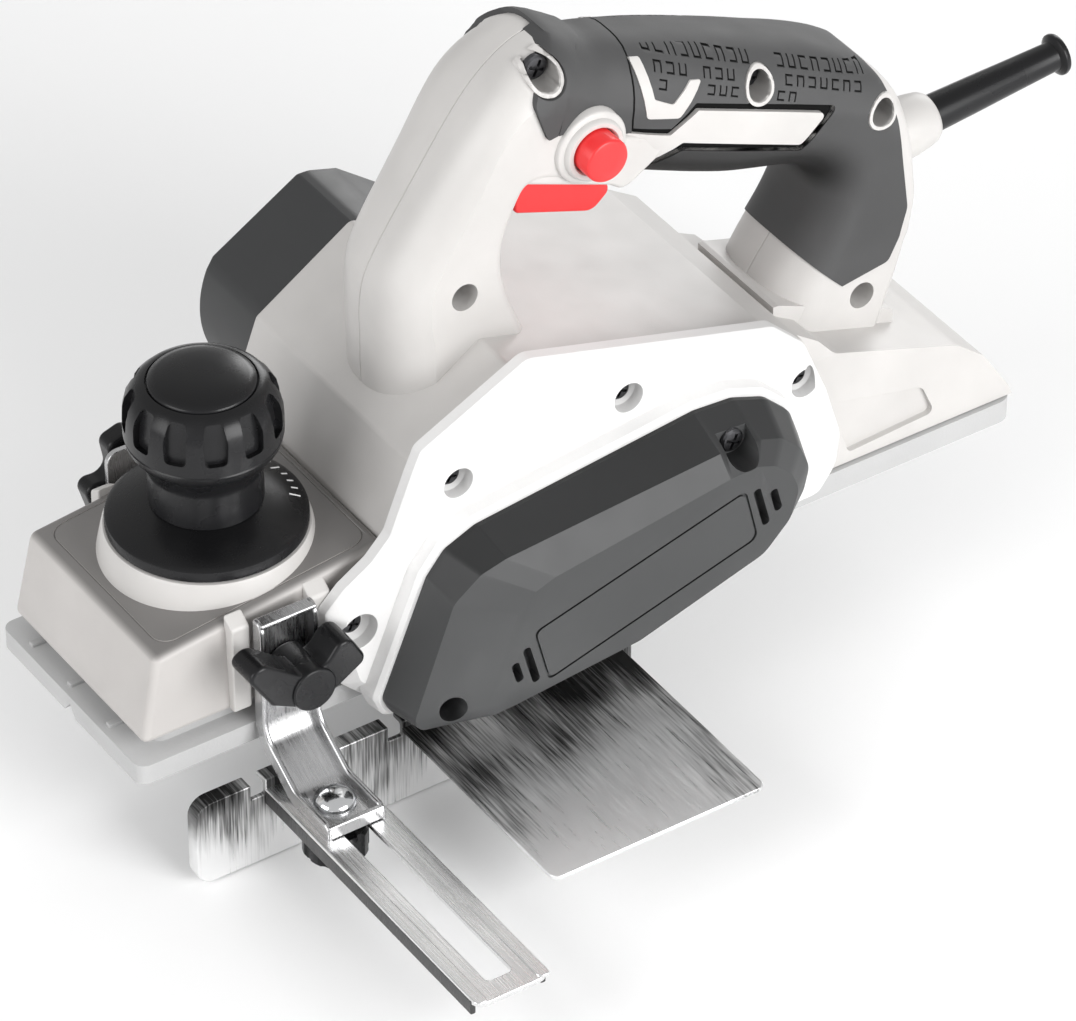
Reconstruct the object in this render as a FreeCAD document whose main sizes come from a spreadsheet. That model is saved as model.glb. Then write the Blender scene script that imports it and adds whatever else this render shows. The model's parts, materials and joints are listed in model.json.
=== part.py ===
import FreeCAD, Part
import math
import os
from FreeCAD import Placement, Rotation, Vector

# Electric hand planer with an 82 mm sole. Everything is drawn in stations: x is the distance behind the front
# edge of the front shoe, y is sideways from the middle of the sole (the belt side is -y), z is the height over the
# rear sole's face. Each finished sub-part's Placement then moves it by -front_reach along x, which puts the origin at
# the centre of the rear sole's face. +X points to the cord, +Z up.

SIZES = {
    # soles
    "front_reach": 226.0,        # origin to the front edge of the front shoe
    "sole_half_width": 41.0,
    "shoe_length": 103.8,
    "shoe_thickness": 7.0,
    "shoe_parked_drop": 0.75,    # the shoe's face under the rear sole's face with the knob at park
    "shoe_travel": 3.75,
    "rear_sole_start": 127.0,
    "rear_sole_end": 325.0,
    "rear_sole_thickness": 8.0,
    # depth control
    "knob_station": 50.4,
    "knob_radius": 24.2,
    "knob_neck_radius": 17.6,
    "cap_radius": 16.9,
    "dial_radius": 31.0,
    "collar_base_radius": 33.3,
    "collar_top_radius": 31.6,
    "collar_length": 14.2,
    "spindle_radius": 5.0,
    "guide_post_radius": 4.0,
    "flute_count": 12.0,
    # cutter
    "drum_station": 118.0,
    "drum_height": 23.0,
    "drum_radius": 21.0,
    "drum_half_length": 40.6,
    "blade_circle_radius": 22.9,
    "drum_clearance_radius": 24.3,
    "drum_shaft_radius": 5.0,
    "drum_bearing_radius": 11.0,
    # motor
    "motor_station": 205.0,
    "motor_height": 43.0,
    "motor_shaft_radius": 4.0,
    "core_radius": 18.5,
    "stator_radius": 31.0,
    "motor_bearing_radius": 11.0,
    "commutator_radius": 11.0,
    "fan_radius": 29.5,
    # belt drive
    "drum_pulley_radius": 12.48,
    "motor_pulley_radius": 9.6,
    "belt_thickness": 2.0,
    "belt_gap": 0.3,
    "belt_width": 10.0,
    "running_clearance": 0.05,
    # side walls
    "plate_inner": 41.3,
    "plate_face": 50.0,
    "cover_rim": 56.0,
    "cover_shoulder": 70.0,
    "cover_face": 75.5,
    "far_wall": 50.6,
    "wall": 3.0,
    # handle
    "handle_half_width": 21.0,
    "handle_bevel": 6.0,
    "rubber_thickness": 2.4,
    "button_radius": 7.3,
    "trigger_half_width": 7.5,
    "guard_radius": 6.2,
    # chip outlet
    "outlet_station": 137.0,
    "outlet_height": 58.0,
    "outlet_radius": 37.5,
    "outlet_end": 84.5,
    "port_radius": 17.5,
    # guide fence
    "bracket_width": 20.4,
    "fence_face": 51.0,
    "fence_rim": 5.5,
    "fence_gauge": 1.8,
    "fence_start": 13.0,
    "fence_end": 171.0,
    "fence_top": -8.5,
    "fence_bottom": -39.5,
    "arm_top": -12.1,
    "arm_end": 167.0,
    "slot_width": 9.0,
    "guide_bolt_offset": 69.5,
    "guide_bolt_radius": 4.0,
}

doc = FreeCAD.newDocument("hand_planer")
sizes = doc.addObject("Spreadsheet::Sheet", "sizes")
for row, (alias, number) in enumerate(SIZES.items(), start=1):
    sizes.set(f"A{row}", alias)
    sizes.set(f"B{row}", str(number))
    sizes.setAlias(f"B{row}", alias)
doc.recompute()

finished = {}
X_AXIS, Y_AXIS, Z_AXIS = Vector(1, 0, 0), Vector(0, 1, 0), Vector(0, 0, 1)
ALONG_Y = Rotation(X_AXIS, -90)     # turns a cylinder's axis from +z to +y
ALONG_X = Rotation(Y_AXIS, 90)      # turns it from +z to +x


def mm(alias):
    """The value of one cell of the sheet."""
    return float(sizes.get(alias))


def bind(thing, **values):
    """Sets numbers, and binds text to the sheet as an expression."""
    for name, value in values.items():
        if isinstance(value, str):
            thing.setExpression(name, value)
        else:
            setattr(thing, name, value)
    return thing


counter = iter(range(1, 100000))


def make(kind, **values):
    return bind(doc.addObject(kind, f"step{next(counter)}"), **values)


def cylinder(radius, length, base, turn=Rotation()):
    """A cylinder that starts at base and runs along +z, or along the axis that turn gives."""
    shape = make("Part::Cylinder", Radius=radius, Height=length)
    shape.Placement = Placement(Vector(*base), turn)
    return shape


def cylinder_y(radius, y_low, y_high, x, z):
    return cylinder(radius, y_high - y_low, (x, y_low, z), ALONG_Y)


def cone(radius_low, radius_high, length, base, turn=Rotation()):
    shape = make("Part::Cone", Radius1=radius_low, Radius2=radius_high, Height=length)
    shape.Placement = Placement(Vector(*base), turn)
    return shape


def box(low, high):
    shape = make("Part::Box", Length=high[0] - low[0], Width=high[1] - low[1], Height=high[2] - low[2])
    shape.Placement = Placement(Vector(*low), Rotation())
    return shape


def turned_box(size, centre, turn):
    """A box of the size given, turned about its own centre."""
    shape = make("Part::Box", Length=size[0], Width=size[1], Height=size[2])
    offset = turn.multVec(Vector(size[0] / 2, size[1] / 2, size[2] / 2))
    shape.Placement = Placement(Vector(*centre) - offset, turn)
    return shape


def fuse(*shapes):
    return make("Part::MultiFuse", Shapes=list(shapes))


def common(first, second):
    return make("Part::Common", Base=first, Tool=second)


def cut(base, *tools):
    tool = tools[0] if len(tools) == 1 else fuse(*tools)
    return make("Part::Cut", Base=base, Tool=tool)


def group(*shapes):
    """Separate solids kept in one sub-part, such as a set of screws."""
    return make("Part::Compound", Links=list(shapes))


def finish(label, shape):
    """Names a finished sub-part and moves it from stations to the origin at the rear sole."""
    shape.Label = label
    shape.setExpression("Placement.Base.x", f"-sizes.front_reach + {shape.Placement.Base.x}")
    finished[label] = shape
    return shape


def mirrored(shape):
    """The far side's twin of a near side shape."""
    return make("Part::Mirroring", Source=shape, Normal=Y_AXIS)


def corner_geometry(points):
    """Lines and arcs through points (u, v) or (u, v, radius of the corner)."""
    starts, ends, arcs = [], [], []
    count = len(points)
    for index, point in enumerate(points):
        here = Vector(point[0], point[1], 0)
        radius = point[2] if len(point) > 2 else 0.0
        if not radius:
            starts.append(here)
            ends.append(here)
            arcs.append(None)
            continue
        before = Vector(*points[index - 1][:2], 0) - here
        after = Vector(*points[(index + 1) % count][:2], 0) - here
        before.normalize()
        after.normalize()
        half = before.getAngle(after) / 2
        reach = radius / math.tan(half)
        middle = before + after
        middle.normalize()
        start, end = here + before * reach, here + after * reach
        crown = here + middle * (radius / math.sin(half) - radius)
        starts.append(start)
        ends.append(end)
        arcs.append(Part.Arc(start, crown, end))
    edges = []
    for index in range(count):
        if arcs[index]:
            edges.append(arcs[index])
        leave, arrive = ends[index], starts[(index + 1) % count]
        if (arrive - leave).Length > 1e-6:
            edges.append(Part.LineSegment(leave, arrive))
    return edges


def body_with_sketch(role, offset, loops, rounds=()):
    body = doc.addObject("PartDesign::Body", f"body{next(counter)}")
    sketch = body.newObject("Sketcher::SketchObject", f"sketch{next(counter)}")
    plane = next(feature for feature in body.Origin.OriginFeatures if feature.Role == role)
    sketch.AttachmentSupport = [(plane, "")]
    sketch.MapMode = "FlatFace"
    sketch.AttachmentOffset = Placement(Vector(0, 0, offset), Rotation())
    for loop in loops:
        sketch.addGeometry(corner_geometry(loop), False)
    for u, v, radius in rounds:
        sketch.addGeometry(Part.Circle(Vector(u, v, 0), Z_AXIS, radius), False)
    return body, sketch


def pad(role, offset, length, loops, rounds=()):
    body, sketch = body_with_sketch(role, offset, loops, rounds)
    feature = body.newObject("PartDesign::Pad", f"pad{next(counter)}")
    feature.Profile = sketch
    bind(feature, Length=length)
    return body


def slab(y_low, y_high, outline, *holes, rounds=()):
    """A plate whose outline is drawn in stations and heights, between two distances from the middle."""
    return pad("XZ_Plane", -y_high, y_high - y_low, [outline, *holes], rounds)


def bar(x_low, x_high, outline):
    """A bar whose section is drawn in y and z, between two stations."""
    return pad("YZ_Plane", x_low, x_high - x_low, [outline])


def plate(z_low, z_high, outline, rounds=()):
    """A plate whose outline is drawn in stations and y, between two heights."""
    return pad("XY_Plane", z_low, z_high - z_low, [outline], rounds)


def turned(profile, x, y):
    """A solid of revolution about the vertical through (x, y), from its half section in radii and heights."""
    body, sketch = body_with_sketch("XZ_Plane", 0, [profile])
    feature = body.newObject("PartDesign::Revolution", f"turn{next(counter)}")
    feature.Profile = sketch
    feature.ReferenceAxis = (sketch, ["V_Axis"])
    feature.Angle = 360
    body.Placement = Placement(Vector(x, y, 0), Rotation())
    return body


def inset(points, distance):
    """The outline moved in by a distance, corner for corner. Points run counter-clockwise."""
    moved = []
    count = len(points)
    for index in range(count):
        before, here, after = points[index - 1], points[index], points[(index + 1) % count]
        first = Vector(here[0] - before[0], here[1] - before[1], 0)
        second = Vector(after[0] - here[0], after[1] - here[1], 0)
        first.normalize()
        second.normalize()
        left_first, left_second = Vector(-first.y, first.x, 0), Vector(-second.y, second.x, 0)
        middle = left_first + left_second
        middle.normalize()
        reach = distance / middle.dot(left_first)
        moved.append((here[0] + middle.x * reach, here[1] + middle.y * reach))
    return moved


def section(points, y):
    """A closed section drawn in stations and heights, standing at y."""
    sketch = doc.addObject("Sketcher::SketchObject", f"section{next(counter)}")
    sketch.addGeometry(corner_geometry(points), False)
    sketch.Placement = Placement(Vector(0, y, 0), Rotation(X_AXIS, 90))
    return sketch


def loft(*sections):
    return make("Part::Loft", Sections=list(sections), Solid=True, Ruled=True)


def bevelled(points, y_inner, y_outer, bevel, bevel_depth):
    """A plate from y_inner out to y_outer (towards -y) whose outer rim is bevelled."""
    shoulder = y_outer + bevel_depth
    return loft(section(points, y_inner), section(points, shoulder), section(inset(points, bevel), y_outer))


drum_x, drum_z = mm("drum_station"), mm("drum_height")
motor_x, motor_z = mm("motor_station"), mm("motor_height")
knob_x = mm("knob_station")
half_sole = mm("sole_half_width")
far_wall = mm("far_wall")
gap = mm("running_clearance")

# ---------------------------------------------------------------- outlines shared by neighbouring sub-parts
HOUSING = [(90.3, 10.6), (241, 10.6), (241, 66), (229, 73.5), (134, 99.5), (99.5, 77), (90.3, 51.5)]
PLATE = [(77, 2.5), (244, 7), (251.5, 17), (253, 27), (247, 47), (236, 70), (227, 79.5), (136, 105.5), (97, 86.5),
         (93.5, 77), (86.5, 59), (79, 51), (70, 45.5), (64.5, 40), (63.5, 32), (65.5, 22), (68, 12)]
COVER = [(79, 2.5), (90, 2), (160, 5), (216, 24), (226, 34), (228.5, 45), (225, 57), (216, 66), (203, 71.5),
         (190, 73), (110, 62.5), (99, 57.5), (93, 49), (76, 9)]
COVER_SHOULDER = [(80.5, 3.2), (90, 3), (160, 6.3), (212, 24.5), (220, 33), (223, 42), (219, 51), (213, 57.5),
                  (204, 62), (191, 62.8), (112, 56.8), (103.7, 55), (92.5, 47.5), (78.5, 8)]
HANDLE = [(105.7, 81.6), (134, 100.1), (150.5, 97), (146.2, 110), (144.6, 124), (147.4, 136),
          (152.4, 145.6), (184, 132.5), (196, 129.6), (207, 124), (229, 115), (246, 110), (256, 106.8),
          (263.6, 101), (266.4, 93), (264.2, 86.5), (258.4, 77.8), (252, 69), (247, 64.2), (289.4, 45.3),
          (293.5, 56), (297.6, 67), (300.6, 80), (300.4, 90), (298.6, 104), (296.6, 114), (292.8, 124),
          (286.6, 132.6), (277, 140.4), (262, 148.8), (229.4, 163), (207.8, 171.4), (190.8, 177.4),
          (183.6, 180.8), (176.8, 185.4), (170.2, 188.2), (163.4, 187.6), (156.8, 184.6), (149.6, 179.2),
          (136.7, 165), (121, 142.5), (110, 126.7), (106.7, 119), (105.7, 111)]
HANDLE_BOLTS = [(129.6, 116), (161, 182), (238, 149), (283.6, 122.6), (277.1, 56)]
RUBBER_ZONE = [(159.5, 205), (156.5, 182), (161, 161), (172, 157.5), (190, 149), (197, 133), (205, 118), (245, 95),
               (256, 76.5), (269, 63.5), (287, 65.5), (291, 73), (293.6, 84), (289.7, 117), (284, 134), (272, 150),
               (230, 178), (190, 196)]


NEAR_WING_Z, FAR_WING_Z = 27.2, 33.0
OUTLET_FLATS = [(94.5, 15.5), (179.5, 15.5), (179.5, 70), (150.5, 92.5), (137.5, 96.5), (105, 76.5), (94.5, 60)]
TRIGGER_PIVOT = (161, 149)
LOCK_AXIS = (174.5, 153.5)


# ---------------------------------------------------------------- frame, soles and covers
def main_frame():
    """The cast frame: rear sole, ledge, far cheek, near wall, hood over the drum and the deck under the knob."""
    start, end = mm("rear_sole_start"), mm("rear_sole_end")
    sole = plate(0, mm("rear_sole_thickness"), [(start, -half_sole), (end, -half_sole, 6), (end, half_sole, 6),
                                                (start, half_sole)])
    ledge = box((141, 30, 8), (238, 47.4, 12))
    cheek = slab(41.4, 47.4, [(94, 10), (238, 10), (238, 16), (172, 16), (141, 60), (100, 60), (94, 45)])
    near_wall = slab(-40.9, -37, [(146, 8), (238, 8), (238, 22), (146, 30)])
    hood = slab(-40.9, 41.4, [(90, 23), (146.5, 23), (146.5, 39, 12), (130, 52, 12), (106, 52, 12), (90, 42, 12)])
    chip_gap = box((112, -30, 40), (140, 30, 60))
    deck = plate(33, 38, [(12, -30), (92, -30), (92, 30), (12, 30)])
    front_wall = box((84, -33, 12), (92, 33, 38))
    solid = fuse(sole, ledge, cheek, near_wall, cut(hood, chip_gap), deck, front_wall)
    drum_space = cylinder_y("sizes.drum_clearance_radius", -half_sole - 1, 41.4, drum_x, drum_z)
    under_drum = box((88, -half_sole - 1, -5), (start + 1, 41.4, drum_z))
    bearing_seat = cylinder_y("sizes.drum_bearing_radius", 41, 48, drum_x, drum_z)
    spindle_hole = cylinder("sizes.spindle_radius + sizes.running_clearance", 20, (knob_x, 0, 25))
    posts = [cylinder("sizes.guide_post_radius + sizes.running_clearance", 20, (22, y, 25)) for y in (-22, 22)]
    duct = cylinder_y(22, 40, 48, mm("outlet_station"), 61)
    casting = cut(solid, drum_space, under_drum, bearing_seat, spindle_hole, duct, *posts)
    finish("main_frame", group(casting))
    return casting


def front_shoe():
    """The moving front sole with its threaded boss, two guide posts, ribs and the chamfering groove."""
    low = -mm("shoe_parked_drop")
    top = low + mm("shoe_thickness")
    length = mm("shoe_length")
    base = plate(low, top, [(0, -half_sole, 8), (length, -half_sole), (length, half_sole), (0, half_sole, 8)])
    boss = cylinder(10, 18, (knob_x, 0, top))
    posts = [cylinder("sizes.guide_post_radius", 27, (22, y, top)) for y in (-22, 22)]
    ribs = []
    for start, y in ((8, -32), (30, -12), (30, 12), (8, 32)):
        ribs.append(box((start, y - 1.5, top), (78, y + 1.5, top + 3.6)))
    thread = cylinder("sizes.spindle_radius + sizes.running_clearance", 40, (knob_x, 0, low - 5))
    groove = bar(-5, length + 5, [(-4, low - 1), (4, low - 1), (0, low + 4)])
    drum_space = cylinder_y("sizes.drum_clearance_radius", -50, 50, drum_x, drum_z - mm("shoe_travel"))
    return finish("front_shoe", cut(fuse(base, boss, *posts, *ribs), thread, groove, drum_space))


def front_cover():
    """The box over the front shoe: sloping top, drafted sides, open below, cut out for the collar."""
    side = slab(-39, 39, [(3, 11.5), (90, 11.5), (90, 51), (9, 41.5)])
    front = bar(0, 95, [(-38.5, 11), (38.5, 11), (36.3, 55), (-36.3, 55)])
    inner_side = slab(-39, 39, [(6, 5), (95, 5), (95, 48.6), (12, 38.8)])
    inner_front = bar(0, 100, [(-35.7, 5), (35.7, 5), (33.4, 55), (-33.4, 55)])
    shell = cut(common(side, front), common(inner_side, inner_front))
    stem = cylinder(28, 40, (knob_x, 0, 30))
    ribs = []
    for x_low, x_high in ((34, 39.8), (61, 66.8)):
        near = bar(x_low, x_high, [(-40.9, 13), (-36.5, 13), (-36.2, 46.5), (-40.9, 45)])
        ribs += [near, mirrored(near)]
    near_boss = cylinder_y(8, -41.25, -31, knob_x, NEAR_WING_Z)
    far_boss = cylinder_y(6, 34, 41.35, knob_x, FAR_WING_Z)
    bolt_holes = [cylinder_y(3.05, -45, -30, knob_x, NEAR_WING_Z), cylinder_y(3.05, 30, 45, knob_x, FAR_WING_Z)]
    moulding = cut(cut(fuse(shell, *ribs, near_boss, far_boss), stem), *bolt_holes)
    finish("front_cover", group(moulding))
    return moulding


def knob_collar(cover):
    """The tapered ring that the dial turns on. It stands through the cover's top, on the deck."""
    outer = cone("sizes.collar_base_radius", "sizes.collar_top_radius", "sizes.collar_length", (knob_x, 0, 38.1))
    inner = cylinder(27, 30, (knob_x, 0, 30))
    return finish("knob_collar", cut(outer, inner, cover))


def side_plate():
    """The cast plate that closes the belt side, with the pad the belt cover sits on and both bearing seats."""
    face, back = -mm("plate_face"), -mm("plate_inner")
    plate_body = bevelled(PLATE, back, face, 4.5, 4.0)
    pad_ring = slab(-mm("cover_rim"), face, inset(COVER, -2.2), inset(COVER, 5))
    holes = [cylinder_y(3.4, -60, -46, x, z) for x, z in PLATE_SCREWS]
    holes += [cylinder_y(1.8, -60, -30, x, z) for x, z in PLATE_SCREWS]
    seats = [cylinder_y("sizes.drum_bearing_radius", -47.5, -40, drum_x, drum_z),
             cylinder_y("sizes.motor_bearing_radius", -48.5, -40, motor_x, motor_z),
             cylinder_y(6.5, -60, -40, drum_x, drum_z), cylinder_y(6.5, -60, -40, motor_x, motor_z)]
    cover_screws = [cylinder_y(1.8, -60, -44, x, z) for x, z in COVER_SCREWS]
    return finish("side_plate", cut(fuse(plate_body, pad_ring), *holes, *seats, *cover_screws))


PLATE_SCREWS = [(108.3, 73.6), (169.6, 79.5), (235.4, 57.2), (72.7, 32.5)]
COVER_SCREWS = [(91, 9.5), (197, 61.5)]


def pan_screw(x, z, y_head, shank, head_radius=3.2, shank_radius=1.7):
    """A pan head screw along y with its head towards -y."""
    head = cylinder_y(head_radius, y_head, y_head + 2.2, x, z)
    body = cylinder_y(shank_radius, y_head + 2.2, y_head + 2.2 + shank, x, z)
    slots = [turned_box((4.2, 2.2, 0.9), (x, y_head, z), Rotation(Y_AXIS, angle)) for angle in (20, 110)]
    return cut(fuse(head, body), *slots)


def side_plate_screws():
    return finish("side_plate_screws", group(*[pan_screw(x, z, -48.2, 8) for x, z in PLATE_SCREWS]))


def belt_cover():
    """The moulded cover over both pulleys: thin walls, bevelled face, a sunk badge panel and vent slots."""
    shoulder, face = -mm("cover_shoulder"), -mm("cover_face")
    front_face = [(103, 4), (112, 5), (157, 8), (208, 26), (214, 34), (215.5, 44), (211, 51), (203, 56), (196, 58),
                  (189, 58.5), (128, 48), (121, 45.5), (116, 39), (101, 8)]
    rim = section(COVER, -mm("cover_rim") - 0.05)
    outer = loft(rim, section(COVER_SHOULDER, shoulder), section(front_face, face))
    inner = loft(section(inset(COVER, 2.4), -mm("cover_rim") + 1), section(inset(COVER_SHOULDER, 2.4), shoulder + 1))
    badge = slab(face - 1, face + 0.6, [(129, 14), (190, 33.5), (197, 50.5), (136, 31)])
    vents = []
    for x, z, long in ((113.5, 22.5, 7), (119, 24.5, 12), (203.5, 45.5, 11), (208.5, 45, 7)):
        vents.append(turned_box((2.6, 8, long), (x, face, z), Rotation(Y_AXIS, -4)))
    wells, seats, holes = [], [], []
    for x, z in COVER_SCREWS:
        wells.append(cylinder_y(4.6, -80, -62, x, z))
        seats.append(cylinder_y(5.8, -66, -56.1, x, z))
        holes.append(cylinder_y(1.8, -80, -50, x, z))
    shell = fuse(cut(outer, inner, badge, *vents), *[common(seat, outer) for seat in seats])
    return finish("belt_cover", cut(shell, *wells, *holes))


def belt_cover_screws():
    return finish("belt_cover_screws", group(*[pan_screw(x, z, -64.3, 16) for x, z in COVER_SCREWS]))


def motor_housing(frame):
    """The faceted plastic housing between the side plate and the far wall, open below and on the belt side."""
    shell = cut(slab(-40.9, far_wall, HOUSING), slab(-45, 47.5, INNER_HOUSING))
    duct = cylinder_y(27, 40, 60, mm("outlet_station"), mm("outlet_height"))
    motor_hole = cylinder_y(26, 40, 60, motor_x, motor_z)
    return finish("motor_housing", cut(shell, duct, motor_hole, frame))


INNER_HOUSING = [(93.3, -5), (238, -5), (238, 64.3), (228, 70.6), (134.5, 96.1), (102, 75), (93.3, 51)]


def motor_end_cover():
    """The vented end cap on the far side of the motor, with the seat of its bearing."""
    disc = cylinder_y(30, far_wall, 58, motor_x, motor_z)
    hub = cylinder_y(15, 40.6, far_wall, motor_x, motor_z)
    spigot = cut(cylinder_y(25.8, 46, far_wall, motor_x, motor_z), cylinder_y(23, 40, far_wall, motor_x, motor_z))
    spokes = [turned_box((49, 3, 5), (motor_x, 49, motor_z), Rotation(Y_AXIS, angle)) for angle in (0, 60, 120)]
    dish = cylinder_y(24, 52.6, 55.4, motor_x, motor_z)
    vents = []
    for ring in range(12):
        turn = Rotation(Y_AXIS, 30 * ring + 15)
        middle = turn.multVec(Vector(19, 0, 0))
        vents.append(turned_box((9, 30, 3), (motor_x + middle.x, 60, motor_z + middle.z), turn))
    seat = cylinder_y("sizes.motor_bearing_radius", 40, 47.6, motor_x, motor_z)
    return finish("motor_end_cover", cut(fuse(disc, hub, spigot, *spokes), dish, *vents, seat))


def housing_screws():
    """Four screws that hold the motor end cover and the far wall to the frame."""
    screws = []
    for angle in (45, 135, 225, 315):
        x = motor_x + 27 * math.cos(math.radians(angle))
        z = motor_z + 27 * math.sin(math.radians(angle))
        screws.append(cylinder_y(2.6, 58, 59.8, x, z))
    return finish("housing_screws", group(*screws))


def chip_outlet():
    """The round chip outlet with its flattened top, its chamber and the port for a dust hose."""
    x, z, end = mm("outlet_station"), mm("outlet_height"), mm("outlet_end")
    drum = cylinder_y("sizes.outlet_radius", far_wall + 0.05, end, x, z)
    chamber = cylinder_y(29.5, far_wall - 1, end - 5, x, z)
    tube = cylinder_y("sizes.port_radius + sizes.wall", 60, end - 4, x, z)
    port = cylinder_y("sizes.port_radius", 55, end + 1, x, z)
    body = fuse(cut(common(drum, slab(far_wall, end + 0.5, OUTLET_FLATS)), chamber), tube)
    return finish("chip_outlet", cut(body, port))


def rear_cover():
    """The wedge behind the motor with a pedestal for the handle and a sunk panel on each side."""
    side = slab(-41, 41, [(241.2, 8.2), (325, 8.2), (314, 26.5), (304, 34.8), (257, 50.3), (241.2, 60)])
    front = bar(240, 326, [(-40, 8), (40, 8), (36, 50), (31, 62), (-31, 62), (-36, 50)])
    inner_side = slab(-41, 41, [(236, 5), (320, 5), (311, 24), (302, 31.8), (256, 47), (236, 58)])
    inner_front = bar(230, 330, [(-37, 5), (37, 5), (33, 48), (29, 59), (-29, 59), (-33, 48)])
    pedestal = slab(-21, 21, [(245, 51), (289, 38), (289, 44.7), (252, 61.2), (245, 64.2)])
    panel = bar(241, 291, [(-50, 15), (-38.1, 15), (-36.9, 29), (-50, 31)])
    shell = cut(fuse(common(side, front), pedestal), common(inner_side, inner_front), panel, mirrored(panel))
    return finish("rear_cover", shell)


# ---------------------------------------------------------------- handle
def handle_solid(half_width, shrink, bevel):
    """The near half of the handle: its outline, bevelled towards the face at half_width."""
    outline = inset(HANDLE, shrink) if shrink else HANDLE
    shoulder = -half_width + bevel + 4
    return loft(section(outline, -0.02), section(outline, shoulder), section(inset(outline, bevel), -half_width))


def lean(length):
    """A point on the cord guard's axis, which rises a little to the rear, and the turn that follows it."""
    turn = Rotation(Y_AXIS, 90 - 4.6)
    return Vector(284, 0, 93.6) + turn.multVec(Vector(0, 0, length)), turn


def along_cord(radius, start, end, radius_end=None):
    """A cylinder or cone on the cord guard's axis."""
    point, turn = lean(start)
    if radius_end is None:
        return cylinder(radius, end - start, tuple(point), turn)
    return cone(radius, radius_end, end - start, tuple(point), turn)


BADGE = [(208.2, 140.5), (251.8, 122), (262.2, 131), (211, 153.5)]
VEE = [(191.7, 178.4), (195, 176), (198, 160.5), (205.4, 157.5), (210, 163.5), (213.5, 161.5), (205.3, 151.5),
       (194.3, 156)]


def handle():
    """Both handle shells, both rubber grips and their inlays. The far pieces are twins of the near ones."""
    width = mm("handle_half_width")
    rubber = mm("rubber_thickness")
    outer = handle_solid(width, 0, mm("handle_bevel"))
    core = handle_solid(width - rubber, rubber, mm("handle_bevel") - 1.4)
    skin = common(cut(outer, core), slab(-30, 10, RUBBER_ZONE))
    cavity = slab(-14, 5, inset(HANDLE, 7))
    reach = mm("trigger_half_width") + 0.6
    trigger_slot = slab(-reach, 1, [(155.5, 118), (196, 113), (196, 160), (155.5, 165)])
    cord_hole = along_cord(9.6, -2, 30)
    pivot_hole = cylinder_y(2.3, -12.5, 5, *TRIGGER_PIVOT)
    bosses = [common(cylinder_y(6.5, -25, -0.02, x, z), outer) for x, z in HANDLE_BOLTS]
    boss_space = [cylinder_y(6.5, -30, 5, x, z) for x, z in HANDLE_BOLTS]
    shell = fuse(cut(outer, skin, cavity), *bosses)
    openings = fuse(trigger_slot, cord_hole, pivot_hole)

    wells = [cylinder_y(4.6, -30, -9, x, z) for x, z in HANDLE_BOLTS]
    bolt_holes = [cylinder_y(2.05, -30, 5, x, z) for x, z in HANDLE_BOLTS]
    ring = fuse(cylinder_y(12.5, -width - 1.6, -10, *LOCK_AXIS), cylinder_y(10, -width - 3.0, -10, *LOCK_AXIS))
    lock_hole = cylinder_y("sizes.button_radius + 0.3", -30, 5, *LOCK_AXIS)
    finish("handle_left", cut(fuse(shell, ring), openings, lock_hole, *wells, *bolt_holes))
    far_holes = [cylinder_y(1.9, -12, 5, x, z) for x, z in HANDLE_BOLTS]
    finish("handle_right", mirrored(cut(shell, openings, *far_holes)))

    recesses = fuse(*[slab(-width - 0.5, -width + 1.2, outline) for outline in (BADGE, VEE)])
    grip = cut(skin, *boss_space, recesses, cord_hole)
    finish("grip_left", cut(grip, cylinder_y(12.6, -30, 5, *LOCK_AXIS)))
    finish("grip_right", mirrored(grip))
    inlays = [cut(slab(-width - 0.4, -width + 1.2, outline), *boss_space) for outline in (BADGE, VEE)]
    finish("grip_inlays", group(*inlays, *[mirrored(inlay) for inlay in inlays]))
    screws = [pan_screw(x, z, -11.2, 18, 3.6, 1.9) for x, z in HANDLE_BOLTS]
    finish("handle_screws", group(*screws))


def coil(radius, wire, low, high, turns, base, turn=Rotation()):
    """An open coil spring of the mean radius and wire radius given."""
    helix = make("Part::Helix", Radius=radius, Pitch=(high - low - 2 * wire) / turns)
    helix.Height = high - low - 2 * wire
    end = make("Part::Circle", Radius=wire)
    end.Placement = Placement(Vector(radius, 0, 0), Rotation(X_AXIS, 90))
    spring = make("Part::Sweep", Sections=[end], Solid=True, Frenet=True)
    spring.Spine = (helix, ["Edge1"])
    spring.Placement = Placement(Vector(*base) + turn.multVec(Vector(0, 0, low + wire)), turn)
    return spring


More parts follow.
